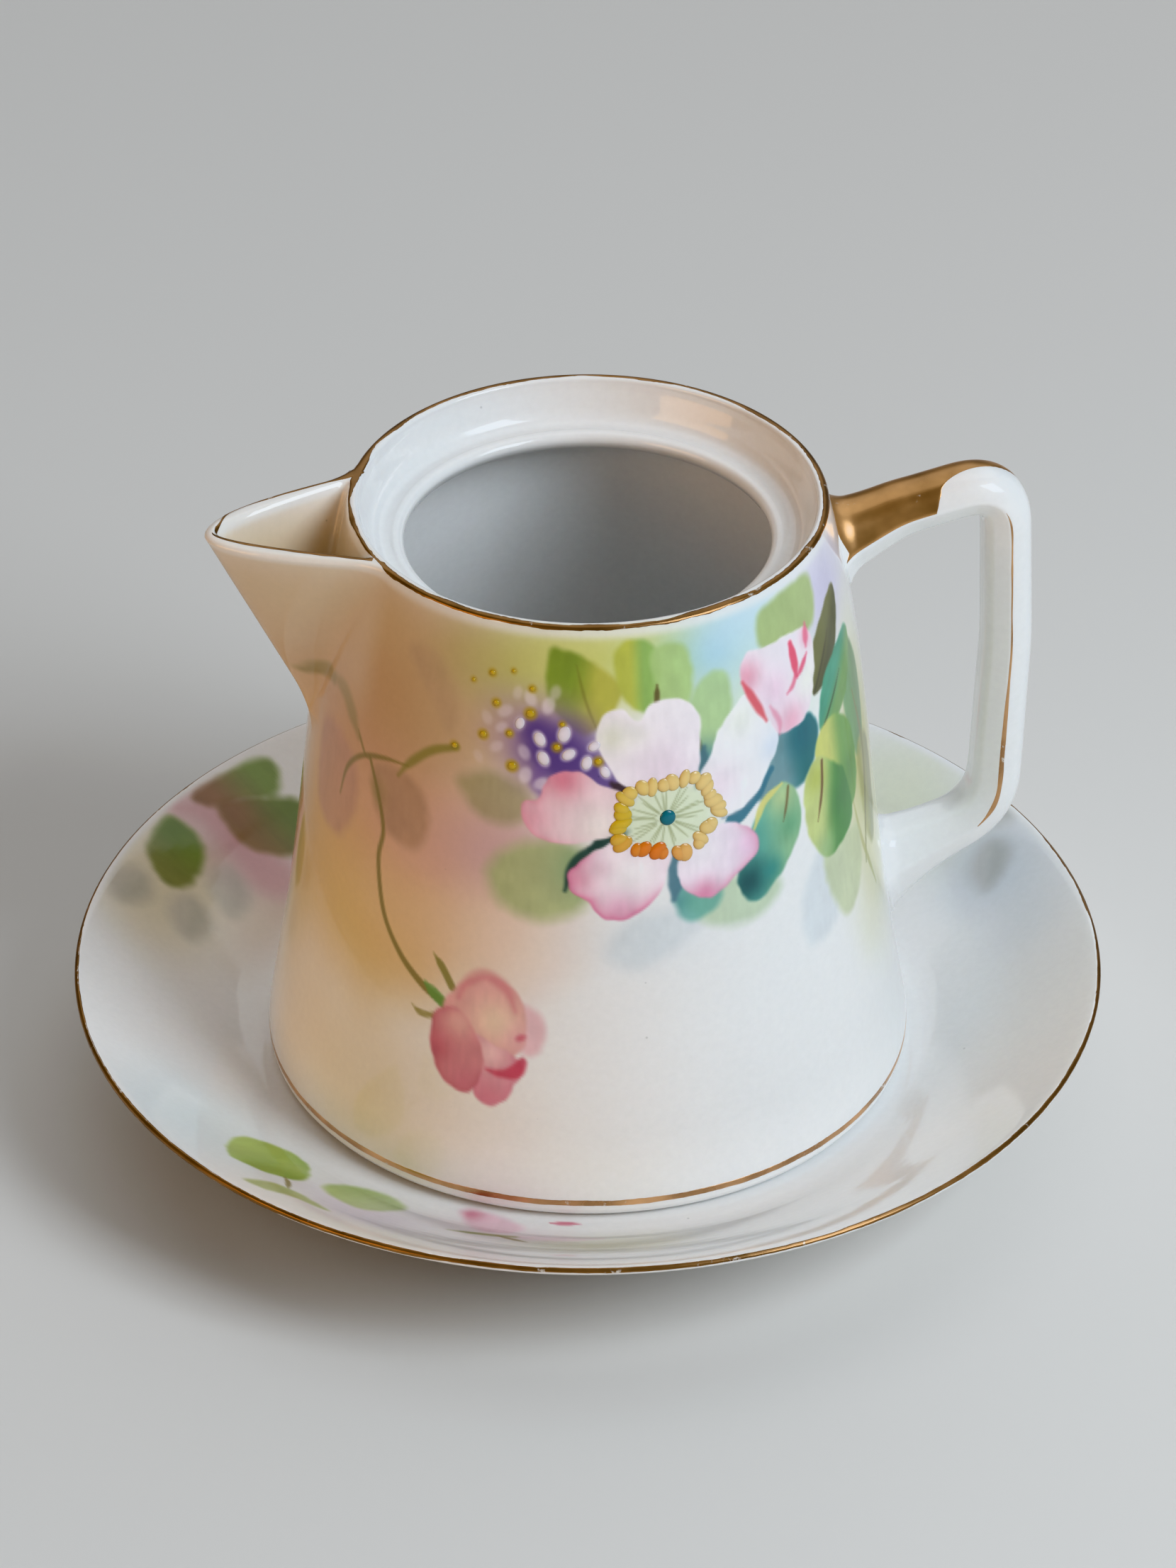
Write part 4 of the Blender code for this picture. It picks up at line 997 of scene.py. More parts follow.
def build_plate():
    """The underplate, painted on its show side."""
    theta = np.radians(np.arange(0, 360, 0.4))
    grid = np.repeat(plate_profile()[:, None], len(theta), 1)
    first = PLATE_WELL_ROWS - 1
    last = first + PLATE_SHOW_ROWS
    points = turned_points(grid, coarse_columns(theta, len(grid), (first, last + 1), 2))
    colors = painted(grid, (first, last), theta, 0, paint_plate)
    return new_mesh("underplate_porcelain", points, grid_faces(*grid.shape[:2]), "underplate", colors)


def plate_left_leaves(c):
    """Soft leaves on the left, round a pink band."""
    green, dull, brown = (0.46, 0.56, 0.22), (0.50, 0.52, 0.26), (0.56, 0.40, 0.24)
    c.stroke([(137.8, 2.1), (134.9, 5.4), (134.5, 11.8), (135.1, 17)], 6.0, (0.84, 0.64, 0.66), 0.7, soft=2.4,
             ends=(0.5, 1.3))
    c.shape((129, 3.9), [(7.6, -2.1), (-0.4, -2.1), (-7.4, -1.3), (-8, 1.4), (-4.5, 4.0), (1.3, 2.4),
                         (6.5, 0.6)], two_tone(green, brown, 5), soft=0.9, cover=0.9)
    c.shape((129, 10.4), [(5.2, -5.5), (-0.2, -3.9), (-7.4, 0), (-4.6, 4.6), (0.1, 6.1), (3.7, 4.2),
                          (6.5, 0.3)],
            two_tone((0.42, 0.50, 0.18), (0.54, 0.42, 0.22), 5), soft=0.9, cover=0.92,
            shades=[((3.5, -3.5), 3.2, brown, 0.9)])
    c.shape((144, 5.9), [(-5.3, -3.9), (-6.2, -1.3), (-5, 2), (-1.6, 3.9), (3.8, 4.4), (6.4, 1.7),
                         (3.9, -2.5), (-0.7, -3.7)], two_tone(green, dull, 5), soft=0.9, cover=0.9,
            shades=[((-3.5, -2), 3.0, (0.36, 0.48, 0.16), 0.7)])


def plate_front_leaves(c):
    """Three leaves and a fallen bud towards the front."""
    c.shape((210.5, 14.9), [(-4.9, -3.3), (-6.9, 0.8), (-5.3, 3.6), (-2.3, 6.1), (2.4, 5.8), (6.9, 0.8),
                            (5.5, -2.8), (2.5, -5.2), (-0.6, -6.1)],
            two_tone((0.64, 0.75, 0.38), (0.50, 0.66, 0.28), 5), soft=0.5, cover=0.95,
            shades=[((2.5, 3), 3.0, (0.70, 0.80, 0.46), 0.7)])
    c.shape((221, 7.4), [(-5, -3), (-3.3, 1.9), (1.5, 2.7), (7, 0.8), (1.4, 0.0), (-1.7, -2.6)],
            (0.62, 0.70, 0.42), soft=0.6, cover=0.85)
    c.stroke([(216, 13.3), (217.6, 12.2), (219.5, 10)], 0.8, (0.46, 0.44, 0.22), 0.8)
    c.shape((224.5, 19.4), [(-5.3, -1.9), (-4.3, 2.9), (0.2, 5.4), (5.3, 3.4), (4.1, -2.9), (0.5, -4.2)],
            two_tone((0.64, 0.75, 0.42), (0.70, 0.78, 0.54), 4), soft=0.8, cover=0.9)
    c.shape((243.3, 24.8), [(-4.4, 2.2), (-1.8, 3.4), (3.0, 2.2), (5.4, 0.2), (3.8, -2.4), (0.4, -3.2),
                            (-2.2, -1.4)], (0.93, 0.77, 0.82), soft=1.0, cover=0.8,
            shades=[((-3.0, 2.4), 1.9, (0.82, 0.40, 0.50), 0.8)])
    c.stroke([(253.6, 27.6), (258.6, 27.7)], 0.9, (0.82, 0.36, 0.46), 0.75)
    c.stroke([(246, 20.6), (252, 21.4), (262, 22.4)], 2.2, (0.93, 0.80, 0.84), 0.6, soft=1.0, ends=(0.4, 0.3))
    c.stroke([(239.6, 18.6), (244.5, 20), (249, 21)], 1.2, (0.56, 0.58, 0.32), 0.7, soft=0.5, ends=(0.2, 0.8))
    c.stroke([(246.6, 20.4), (251, 18.7)], 0.9, (0.56, 0.50, 0.30), 0.7, soft=0.4)


def plate_leaves(c):
    """Leaves and washes on the underplate; places are azimuth and distance in from the edge."""
    c.washes([((150, 8), (16, 13), (0.90, 0.84, 0.68), 0.7), ((136, 12), (8, 12), (0.84, 0.68, 0.68), 0.8),
              ((140, 22), (14, 6), (0.86, 0.76, 0.66), 0.6), ((205, 10), (18, 12), (0.84, 0.91, 0.93), 0.7),
              ((229, 14), (12, 7), (0.84, 0.80, 0.90), 0.6), ((262, 18), (12, 6), (0.93, 0.91, 0.76), 0.6),
              ((246, 22), (10, 4), (0.95, 0.86, 0.88), 0.6), ((15, 8), (16, 9), (0.80, 0.84, 0.88), 0.6),
              ((35, 8), (16, 9), (0.88, 0.90, 0.76), 0.6), ((75, 8), (18, 9), (0.92, 0.84, 0.80), 0.6),
              ((105, 9), (14, 9), (0.84, 0.90, 0.92), 0.6)])
    shadow = (0.64, 0.64, 0.60)
    for place, turn in (((148.5, 11.5), -75), ((139.5, 12.5), -60), ((150, 4.5), -100), ((19, 6), 60),
                        ((26, 3), 100)):
        leaf(c, place, turn, 9, 6.5, shadow, (0.72, 0.71, 0.68), None, 1.8, 0.5)
    plate_left_leaves(c)
    plate_front_leaves(c)


def plate_back_spray(c):
    """Small rose spray on the far side of the underplate."""
    leaf(c, (72, 12), 60, 12, 7, LIME, (0.50, 0.64, 0.28), OLIVE, 0.5, 0.9)
    leaf(c, (66, 12), -64, 12, 7, (0.58, 0.74, 0.52), (0.36, 0.58, 0.34), (0.24, 0.34, 0.16), 0.5, 0.9)
    c.stroke([(70, 12), (80, 15), (90, 13), (98, 9)], 0.9, (0.45, 0.41, 0.14), 0.9)
    small_rose(c, (69, 13), 0.85)
    small_rose(c, (99, 8), 0.5)


def paint_plate(azimuth, radius):
    """Colours of points on the underplate's show side, left bare at its edge."""
    c = Canvas(azimuth, PLATE_R - radius, lambda up: np.radians(1) * (PLATE_R - up))
    plate_leaves(c)
    plate_back_spray(c)
    return c.clean(smooth_step(radius, PLATE_R - 1.9, PLATE_R - 0.6) * 0.9)


# ---------------------------------------------------------------- handle

HANDLE_CORNERS = [(31.5, 85.6), (45.0, 92.6), (60.2, 96.2), (61.0, 70.0), (59.7, 40.0), (40.5, 31.3)]
HANDLE_BENDS = [15.0, 5.8, 60.0, 10.5]      # radii at the corners between the first and the last
HANDLE_STEP = 0.45
ROOT_LENGTH = 15.0                          # at both ends, where the rows are closer
ROOT_FILLET = 2.6
HANDLE_CROWN, HANDLE_INNER = 4.3, 3.2       # from the line of the ridges to the crown and the inner face
HANDLE_HALF = 4.4
SECTION_POINTS = 72
RIDGE = 5 * SECTION_POINTS / 22             # section number of the side ridge, counted from the crown


def handle_path():
    """Points, outward normals and lengths along the line of the side ridges, closest at the roots."""
    corners = [np.array(c) for c in HANDLE_CORNERS]
    path = [corners[0]]
    for before, corner, after, bend in zip(corners, corners[1:], corners[2:], HANDLE_BENDS):
        back, ahead = unit(before - corner), unit(after - corner)
        reach = bend / math.tan(math.acos(float(np.clip(back @ ahead, -1, 1))) / 2)
        start, end = corner + back * reach, corner + ahead * reach
        for t in np.linspace(0, 1, 24):
            path.append(start * (1 - t) ** 2 + corner * 2 * t * (1 - t) + end * t ** 2)
    path.append(corners[-1])
    length = sum(np.linalg.norm(b - a) for a, b in zip(path, path[1:]))
    even = relax(resample(path, int(length / HANDLE_STEP)), 6)
    at = np.linspace(0, length, len(even))
    along = np.concatenate([np.arange(0, ROOT_LENGTH, 0.14),
                            np.arange(ROOT_LENGTH, length - ROOT_LENGTH, HANDLE_STEP),
                            np.linspace(length - ROOT_LENGTH, length, 110)])
    tangent = unit(look_up(along, at, np.gradient(even, at, axis=0)))
    return look_up(along, at, even), left_of(tangent), along


def unit_section():
    """Handle section with crown, inner face and half widths all 1: (out, across), from the crown."""
    side = [(0.97, 0.28), (0.86, 0.55), (0.62, 0.81), (0.28, 0.97), (0.04, 1.03), (-0.17, 0.97),
            (-0.5, 0.84), (-0.80, 0.70), (-0.96, 0.50), (-1.0, 0.24)]
    points = [(1.0, 0.0)] + side + [(-1.0, 0.0)] + [(o, -a) for o, a in reversed(side)]
    return closed_spline(points, SECTION_POINTS)


def handle_grid():
    """Points of the handle's skin, stations by section points, and each station's length."""
    path, normal, along = handle_path()
    unit_out, unit_across = unit_section().T[:, None, :]
    rise = np.clip((path[:, 1] - 40.0) / 54.0, 0, 1)
    clear = np.clip(path[:, 0] - body_radius(path[:, 1]), 0, None)
    flare = 0.7 * np.clip(1 - clear / 13.0, 0, 1) ** 2
    crown = (HANDLE_CROWN - 0.5 * rise) * (1 + flare)
    inner = HANDLE_INNER * (1 + flare * (1 - 0.75 * rise))
    half = HANDLE_HALF * (1 + 0.45 * flare)
    out = unit_out * np.where(unit_out > 0, crown[:, None], inner[:, None])
    across = unit_across * half[:, None]

    def places(grow):
        x, z = (path[:, k][:, None] + normal[:, k][:, None] * out * grow for k in (0, 1))
        return np.stack([x, across * grow, z], -1)

    x, y, z = np.moveaxis(places(1), -1, 0)
    share = 0.86 * np.clip(1 - (np.hypot(x, y) - body_radius(z)) / ROOT_FILLET, 0, 1)
    swell = ROOT_FILLET * (1 - np.sqrt(1 - share ** 2))
    return places(1 + swell / np.hypot(out, across)), along


def build_handle(skin):
    """The handle's skin, closed at both ends inside the jug's wall."""
    rows, cols = skin.shape[:2]
    first, last = (np.repeat(edge.mean(0)[None, None, :], cols, 1) for edge in (skin[0], skin[-1]))
    points = np.concatenate([first, skin, last]).reshape(-1, 3)
    colors = linear(np.tile(np.array(WHITE), (len(points), 1)))
    return new_mesh("handle_porcelain", points, grid_faces(rows + 2, cols), "jug", colors)


# ---------------------------------------------------------------- raised enamel

def wall_frame(azimuth, height):
    """Point on the jug's wall with its eastward, upward and outward directions."""
    a = math.radians(azimuth)
    r = float(body_radius(height))
    slope = float(body_radius(height + 0.5) - body_radius(height - 0.5))
    east = np.array([-math.sin(a), math.cos(a), 0.0])
    out = np.array([math.cos(a), math.sin(a), -slope]) / math.hypot(1, slope)
    return np.array([r * math.cos(a), r * math.sin(a), height]), east, np.cross(out, east), out


def stamens():
    """Beads of the flower's ring: (azimuth, height, half width, half length, turn, rise, tint)."""
    beads = []
    across = math.radians(1) * float(body_radius(FLOWER[1]))
    for k in range(STAMENS):
        angle = 360 * k / STAMENS + 3.5 * math.sin(3.1 * k)
        reach = 1 + 0.09 * math.sin(5.3 * k)
        a = math.radians(angle)
        x = 0.5 + FLOWER_RING[0] * reach * math.cos(a)
        y = FLOWER_RING[1] * reach * math.sin(a)
        left = float(bump(angle, 175, 40))
        tint = np.array(PALE_GOLD)
        tint = tint + (np.array(ORANGE) - tint) * 0.95 * float(bump(angle, 245, 36))
        tint = tint + (np.array(YELLOW) - tint) * 0.9 * left
        width = 0.98 + 0.16 * math.sin(1.9 * k)
        length = 1.3 + 0.25 * math.sin(2.2 * k) + 0.15 * left
        turn = angle - 90 + 24 * math.sin(4.7 * k)
        beads.append((FLOWER[0] + x / across, FLOWER[1] + y, width, length, turn, 0.32, tint))
    return beads


def enamel_beads():
    """Raised dots of enamel: stamens, the flower's eye, blossoms and their centres."""
    beads = stamens()
    beads.append((FLOWER[0] + 0.4, FLOWER[1], 1.15, 1.2, 0, 0.4, np.array([0.06, 0.44, 0.50])))
    for k, (azimuth, height, size, _) in enumerate(BRIGHT_BLOSSOMS):
        tint = np.array([0.95, 0.91, 0.94])
        beads.append((azimuth, height, 0.72 * size, 1.0 * size, blossom_turn(k), 0.16, tint))
    for azimuth, height, size in BLOSSOM_CENTRES:
        beads.append((azimuth, height, 0.62 * size, 0.58 * size, 0, 0.18, np.array([0.80, 0.67, 0.18])))
    return beads


def build_beads():
    """All raised dots as one piece of flattened balls, each painted lighter at its crown as a painted
    highlight.
    """
    lat = np.linspace(-math.pi / 2, math.pi / 2, 11)[:, None]
    lon = np.linspace(0, 2 * math.pi, 18, endpoint=False)[None, :]
    ball = np.stack([np.cos(lat) * np.cos(lon), np.cos(lat) * np.sin(lon), np.sin(lat) + 0 * lon], -1)
    points, colors, faces = [], [], []
    for azimuth, height, half_x, half_y, turn, rise, tint in enamel_beads():
        place, east, up, out = wall_frame(azimuth, height)
        c, s = math.cos(math.radians(turn)), math.sin(math.radians(turn))
        x, y, z = ball[..., :1] * half_x, ball[..., 1:2] * half_y, ball[..., 2:] * rise
        bead = place + x * (c * east + s * up) + y * (c * up - s * east) + z * out
        faces.append(grid_faces(*ball.shape[:2]) + sum(len(p) for p in points))
        points.append(bead.reshape(-1, 3))
        # Painted highlight and painted shade: each bead's colour is lighter at its crown and darker at its
        # foot.
        colors.append((tint * (0.86 + 0.14 * np.clip(ball[..., 2:], 0, 1))).reshape(-1, 3))
    colors = linear(np.concatenate(colors))
    return outward(new_mesh("enamel_beads", np.concatenate(points), np.concatenate(faces), "jug", colors))


# ---------------------------------------------------------------- gilding

COAT_LIFT = 0.035           # gold above the skin; its back lies at COAT_SINK and its edges at COAT_EDGE below
COAT_SINK = 0.14
COAT_EDGE = 0.02


def raised_profile(count, lift, sharpness):
    """Height of a coat across its width, even in the middle and falling at its edges."""
    t = np.linspace(-1, 1, count)
    return lift * (1 - t ** sharpness) - COAT_EDGE * t ** sharpness


def coat(name, points, normals, body, lift=COAT_LIFT, sink=COAT_SINK, closed=False):
    """Closed thin shell over a patch of skin: rows x cols points, raised in front, sunk behind."""
    rows, cols, _ = points.shape
    raised = raised_profile(rows, lift, 6)[:, None, None]
    if not closed:
        raised = np.minimum(raised, raised_profile(cols, lift, 40)[None, :, None])
    shell = np.concatenate([points + normals * raised, points[::-1] - normals[::-1] * sink])
    faces = grid_faces(2 * rows, cols, wrap_cols=closed, wrap_rows=True)
    if not closed:
        index = np.arange(2 * rows * cols).reshape(2 * rows, cols)
        for c in (0, cols - 1):
            f, b = index[:rows, c], index[rows:, c][::-1]
            faces = np.concatenate([faces, np.stack([f[:-1], f[1:], b[1:], b[:-1]], 1)])
    return outward(new_mesh(name, shell.reshape(-1, 3), faces, body))


def skin_window(line, anchor, low, high, rows):
    """Points and outward normals of a section line between two lengths from its anchor."""
    along = lengths_along(line) - anchor
    s = np.linspace(low, high, rows)
    slope = look_up(s + 0.08, along, line) - look_up(s - 0.08, along, line)
    size = np.hypot(*slope.T) + 1e-9
    return look_up(s, along, line), np.stack([slope[:, 1], -slope[:, 0]], 1) / size[:, None]


def band(name, theta, lines, anchors, low, high, body, rows=9):
    """Gold line round a turned skin; low and high are its edges from the anchors, by column."""
    columns = [skin_window(*each, rows) for each in zip(lines, anchors, low, high)]
    points, normals = (turned_points(np.stack(run, 1), theta).reshape(rows, len(theta), 3)
                       for run in zip(*columns))
    return coat(name, points, normals, body, closed=True)


def rim_band(theta, grid, wall_rows):
    """Gold round the rim and along the bridge behind the spout, where it is narrow and rubbed."""
    edge = RIM_R - 0.4
    lines = list(grid[wall_rows[0]:wall_rows[1] + 40].swapaxes(0, 1))
    anchors = []
    for line in lines:
        last = int(np.nonzero(line[:, 0] > edge)[0][-1])
        share = (line[last, 0] - edge) / (line[last, 0] - line[last + 1, 0])
        along = lengths_along(line)
        anchors.append(along[last] + share * (along[last + 1] - along[last]))
    degrees = np.degrees(theta)
    bridge = 1 - smooth_step(np.abs(degrees - 180), 20, 28)
    front = smooth_step(np.sin(-theta), 0.1, 0.5)
    low = -0.95 - 0.14 * ring_noise(theta, 12, 3) - 0.05 * ring_noise(theta, 60, 4)
    low += 0.5 * bridge + 0.2 * front
    high = 0.6 + 0.3 * ring_noise(theta, 7, 5) + 0.07 * ring_noise(theta, 60, 6)
    high -= 0.3 * bridge + 0.25 * front
    high += bump(degrees, 200, 6) * (0.2 + 0.25 * ring_noise(theta, 30, 7)) + 0.7 * bump(degrees, 158, 7)
    return band("rim_gold", theta, lines, anchors, low, high, "jug")


def foot_band(theta, grid, wall_rows):
    """Fine gold line just above the foot."""
    lines = list(grid[:wall_rows[0] + 60].swapaxes(0, 1))
    below = [int(np.nonzero(line[wall_rows[0]:, 1] < FOOT_LINE_Z)[0][-1]) + wall_rows[0] for line in lines]
    anchors = [lengths_along(line)[k] for line, k in zip(lines, below)]
    low = -0.55 - 0.08 * ring_noise(theta, 12, 11) - 0.04 * ring_noise(theta, 80, 12)
    high = 0.62 + 0.08 * ring_noise(theta, 10, 13) + 0.04 * ring_noise(theta, 90, 14)
    return band("foot_gold", theta, lines, anchors, low, high, "jug", rows=7)


def plate_band():
    """Gold line over the crown of the underplate's lip."""
    theta = np.radians(np.arange(0, 360, 0.5))
    profile = plate_profile()
    lip = int(np.argmax(profile[:, 0]))
    line = profile[lip - 60:lip + 12][::-1]
    anchor = lengths_along(line)[np.nonzero(line[:, 0] > PLATE_R - 0.4)[0][-1]]
    left = bump(np.degrees(theta), 195, 36)
    far = smooth_step(np.sin(theta), -0.1, 0.5)
    low = -0.30 - 0.12 * ring_noise(theta, 12, 21) - 0.06 * ring_noise(theta, 80, 22) - 0.45 * left
    high = 0.62 + 0.14 * ring_noise(theta, 14, 23) + 0.06 * ring_noise(theta, 90, 24)
    high += 0.1 * left - 0.15 * far
    n = len(theta)
    return band("plate_gold", theta, [line] * n, [anchor] * n, low, high, "underplate", rows=11)


BRIM_ANGLES = np.linspace(0.0, 0.9, 900)


def lip_brim():
    """Outer edge of the jug's top at angles off the spout line, and the width of its rounding."""
    brim = outer_radius(math.pi + BRIM_ANGLES, TOP_Z - RIM_EDGE)
    return brim, lip_rounding(brim)


def lip_surface(x, y):
    """Height of the spout's lip and pocket over points given from the axis towards the tip."""
    r, phi = np.hypot(x, y), np.arctan2(y, x)
    edge, wide = (np.interp(np.abs(phi), BRIM_ANGLES, run) for run in lip_brim())
    over = np.clip(1 - (edge - r) / wide, 0, 0.98)
    return pocket_height(phi, r) - RIM_EDGE * (1 - np.sqrt(1 - over ** 2))


def lip_path():
    """The lip's gold line from above: on the near lip's inner edge, then on the far lip's outer one."""
    count = 130
    x, y = lip_plan(inset=True, count=400)
    keep = np.hypot(x, y) > RIM_R - 0.3
    inner = resample(np.stack([x[keep], y[keep]], 1), count)
    brim, width = lip_brim()
    out = brim > RIM_R + 0.5
    crown, angle = (brim - 0.45 * width)[out], BRIM_ANGLES[out]
    outer = resample(np.stack([crown * np.cos(angle), crown * np.sin(angle)], 1), count)
    over = smooth_step(np.linspace(0, 1, count), 0.0, 0.25)[:, None]
    far = (inner * (1 - over) + outer * over) * [1, -1]
    return relax(np.concatenate([inner[::-1], far[1:]]), 4)


def lip_band():
    """Gold line round the spout's lip."""
    path = lip_path()
    normal = left_of(unit(np.gradient(path, axis=0)))
    place = np.linspace(-1, 1, len(path))
    wobble = value_noise(place * 13 + 20, 0.0, 31) - 0.5
    low = -0.10 - 0.10 * wobble - 0.4 * smooth_step(place, 0.3, 0.5) - 1.3 * smooth_step(place, 0.80, 1.0)
    high = 0.90 + 0.2 * wobble - 0.25 * smooth_step(place, 0.0, 0.2) - 0.5 * bump(place, 0.09, 0.10)
    t = np.linspace(0, 1, 14)[:, None]
    offset = low[None, :] + (high - low)[None, :] * t
    px, py = (path[None, :, k] + normal[None, :, k] * offset for k in (0, 1))
    points = np.stack([-px, -py, lip_surface(px, py)], -1)
    step = 0.05
    slope_x = (lip_surface(px + step, py) - lip_surface(px - step, py)) / (2 * step)
    slope_y = (lip_surface(px, py + step) - lip_surface(px, py - step)) / (2 * step)
    up = unit(np.stack([slope_x, slope_y, np.ones_like(px)], -1))
    return coat("lip_gold", points, up, "jug", lift=0.06, sink=0.2)


def handle_patch(name, skin, stations, across):
    """Coat on the handle over grids of station and section numbers (rows x cols)."""
    rows, cols, _ = skin.shape
    wrapped = np.concatenate([skin[:, -1:], skin, skin[:, :1]], 1)
    normal = np.cross((wrapped[:, 2:] - wrapped[:, :-2]) / 2, np.gradient(skin, axis=0))
    normal /= np.linalg.norm(normal, axis=-1)[..., None] + 1e-12
    normal *= np.sign((normal * (skin - skin.mean(1)[:, None])).sum(-1).mean())
    i = np.clip(stations, 0, rows - 1.001)
    i0, j0 = np.floor(i).astype(int), np.floor(across).astype(int)
    fi, fj = (i - i0)[..., None], (across - j0)[..., None]

    def sample(grid):
        a, b = grid[i0, j0 % cols], grid[i0, (j0 + 1) % cols]
        c, d = grid[i0 + 1, j0 % cols], grid[i0 + 1, (j0 + 1) % cols]
        return (a * (1 - fj) + b * fj) * (1 - fi) + (c * (1 - fj) + d * fj) * fi

    return coat(name, sample(skin), sample(normal), "jug", lift=0.04)


def handle_panel(skin, along):
    """Gold field on the upper arm, with a tongue that runs out along the crown."""
    middle = skin.mean(1)
    peak = int(np.argmax(middle[:, 0] > 59.0))

    def length_of(radius):
        return float(np.interp(radius, middle[:peak, 0], along[:peak]))

    v = np.linspace(-1, 1, 90)
    t = np.linspace(0, 1, 90)[None, :]
    tongue = np.interp(v, [-1, -0.8, -0.6, -0.42, -0.26, -0.12, 0.0, 0.08, 1],
                       [0, 0.4, 1.0, 1.9, 3.4, 5.6, 8.2, 10.5, 10.5])
    tongue = np.convolve(np.pad(tongue, 3, mode="edge"), np.ones(7) / 7, "valid")
    finish = length_of(49.6) + tongue + 0.3 * (value_noise(v * 7 + 9, 0.0, 41) - 0.5)
    start = length_of(float(body_radius(92.0)) + 1.0)
    begin = start + 0.5 * (value_noise(v * 5 + 9, 0.0, 42) - 0.5) - 1.1 * smooth_step(-v, 0.82, 0.95)
    lengths = begin[:, None] + (finish - begin)[:, None] * t
    across = np.repeat(v[:, None] * (RIDGE + 0.6), t.shape[1], 1)
    stations = np.interp(lengths, along, np.arange(len(along)))
    return handle_patch("handle_panel_gold", skin, stations, across)


def handle_line(name, skin, along, side, margins, shift):
    """Worn gold line down one ridge, between margins in mm from the top corner to the lower arm."""
    middle = skin.mean(1)
    first = along[int(np.argmax(middle[:, 0] > 58.5))] + margins[0]
    last = along[int(np.nonzero(middle[:, 2] < 41)[0][0])] + margins[1]
    s = np.linspace(first, last, 260)
    height = np.interp(s, along, middle[:, 2])
    half = 0.5 + 0.95 * smooth_step(-height, -67, -54) + 0.4 * (value_noise(s / 2.7, 0.0, 50 + side) - 0.5)
    half += 0.35 * bump(s, first + 3.5, 2.5)
    half *= smooth_step(s - first, -0.5, 2.5) * smooth_step(last - s, -0.4, 4.0) * 0.85 + 0.15
    rows = np.linspace(-1, 1, 9)[:, None]
    sway = 0.25 * (value_noise(s / 4, 0.0, 60 + side) - 0.5)
    sections = side * (RIDGE + shift) + sway[None, :] + half[None, :] * rows
    stations = np.interp(s, along, np.arange(len(along)))
    return handle_patch(name, skin, np.repeat(stations[None, :], len(rows), 0), sections)


# ---------------------------------------------------------------- materials

def set_up(tree, made, **settings):
    """Give a node its inputs, by value or by an output to link, with _ for a space, and its properties."""
    for key, value in settings.items():
        name = key.replace("_", " ")
        if name not in made.inputs:
            setattr(made, key, value)
        elif isinstance(value, bpy.types.NodeSocket):
            tree.links.new(value, made.inputs[name])
        else:
            made.inputs[name].default_value = value
    return made


def node(tree, kind, output, **settings):
    """The named output of a new node."""
    return set_up(tree, tree.nodes.new("ShaderNode" + kind), **settings).outputs[output]


def calculate(tree, operation, *values):
    """Output of a new math node; the first one or two of its values may be outputs to link."""
    made = tree.nodes.new("ShaderNodeMath")
    made.operation = operation
    for socket, value in zip(made.inputs, values):
        if isinstance(value, bpy.types.NodeSocket):
            tree.links.new(value, socket)
        else:
            socket.default_value = value
    return made.outputs[0]


def place_on(tree):
    """Coordinates of a point on the object, in metres."""
    return node(tree, "TexCoord", "Object")


def noise(tree, scale, detail, roughness=0.5):
    return node(tree, "TexNoise", "Fac", Vector=place_on(tree), Scale=scale, Detail=detail,
                Roughness=roughness)


def spread(tree, value, low, high, start=0.0, end=1.0):
    """A value mapped from one range to another."""
    return node(tree, "MapRange", "Result", Value=value, From_Min=start, From_Max=end, To_Min=low,
                To_Max=high)


def mix_colors(tree, share, first, second):
    """Mix of two colours."""
    return node(tree, "Mix", "Result", data_type="RGBA", Factor=share, A=first, B=second)


def ramp(tree, share, *stops):
    """Colour ramp through stops of (position, colour)."""
    made = set_up(tree, tree.nodes.new("ShaderNodeValToRGB"), Fac=share)
    for element, (position, color) in zip(made.color_ramp.elements, stops):
        element.position = position
        element.color = (*color, 1)
    return made.outputs["Color"]


def new_material(name):
    """A material, its node tree and its shader."""
    material = bpy.data.materials.new(name)
    material.use_nodes = True
    return material, material.node_tree, material.node_tree.nodes["Principled BSDF"]


def kiln_specks(tree):
    """Factor that darkens a few tiny spots."""
    cells = set_up(tree, tree.nodes.new("ShaderNodeTexVoronoi"), Vector=place_on(tree), Scale=190.0)
    spot = spread(tree, cells.outputs["Distance"], 0.78, 1.0, 0.028, 0.045)
    pick = node(tree, "SeparateColor", "Red", Color=cells.outputs["Color"])
    return calculate(tree, "MAXIMUM", spot, calculate(tree, "GREATER_THAN", pick, 0.22))


def porcelain_material(name, roughness):
    """Painted hard porcelain under a clear glaze, with brush grain and a few kiln specks."""
    material, tree, shader = new_material(name)
    paint = node(tree, "VertexColor", "Color", layer_name="paint")
    cloud = noise(tree, 55.0, 3.0)
    grain = calculate(tree, "MULTIPLY_ADD", noise(tree, 900.0, 4.0, 0.65), 0.10, 0.95)
    mottle = calculate(tree, "MULTIPLY_ADD", cloud, 0.06, 0.97)
    dim = calculate(tree, "MULTIPLY", calculate(tree, "MULTIPLY", grain, mottle), kiln_specks(tree))
    color = node(tree, "VectorMath", "Vector", operation="SCALE", Vector=paint, Scale=dim)
    gloss = spread(tree, cloud, 0.4 * roughness, 1.6 * roughness)
    ripple = node(tree, "Bump", "Normal", Strength=0.35, Distance=0.00004, Height=noise(tree, 130.0, 2.0))
    set_up(tree, shader, Base_Color=color, Roughness=0.42, Specular_IOR_Level=0.25, Subsurface_Weight=0.08,
           Subsurface_Radius=(0.9, 0.7, 0.5), Subsurface_Scale=0.002, Coat_Weight=1.0, Coat_IOR=1.52,
           Coat_Roughness=gloss, Coat_Normal=ripple)
    return material


WORN_GLAZE = (0.72, 0.69, 0.62, 1)


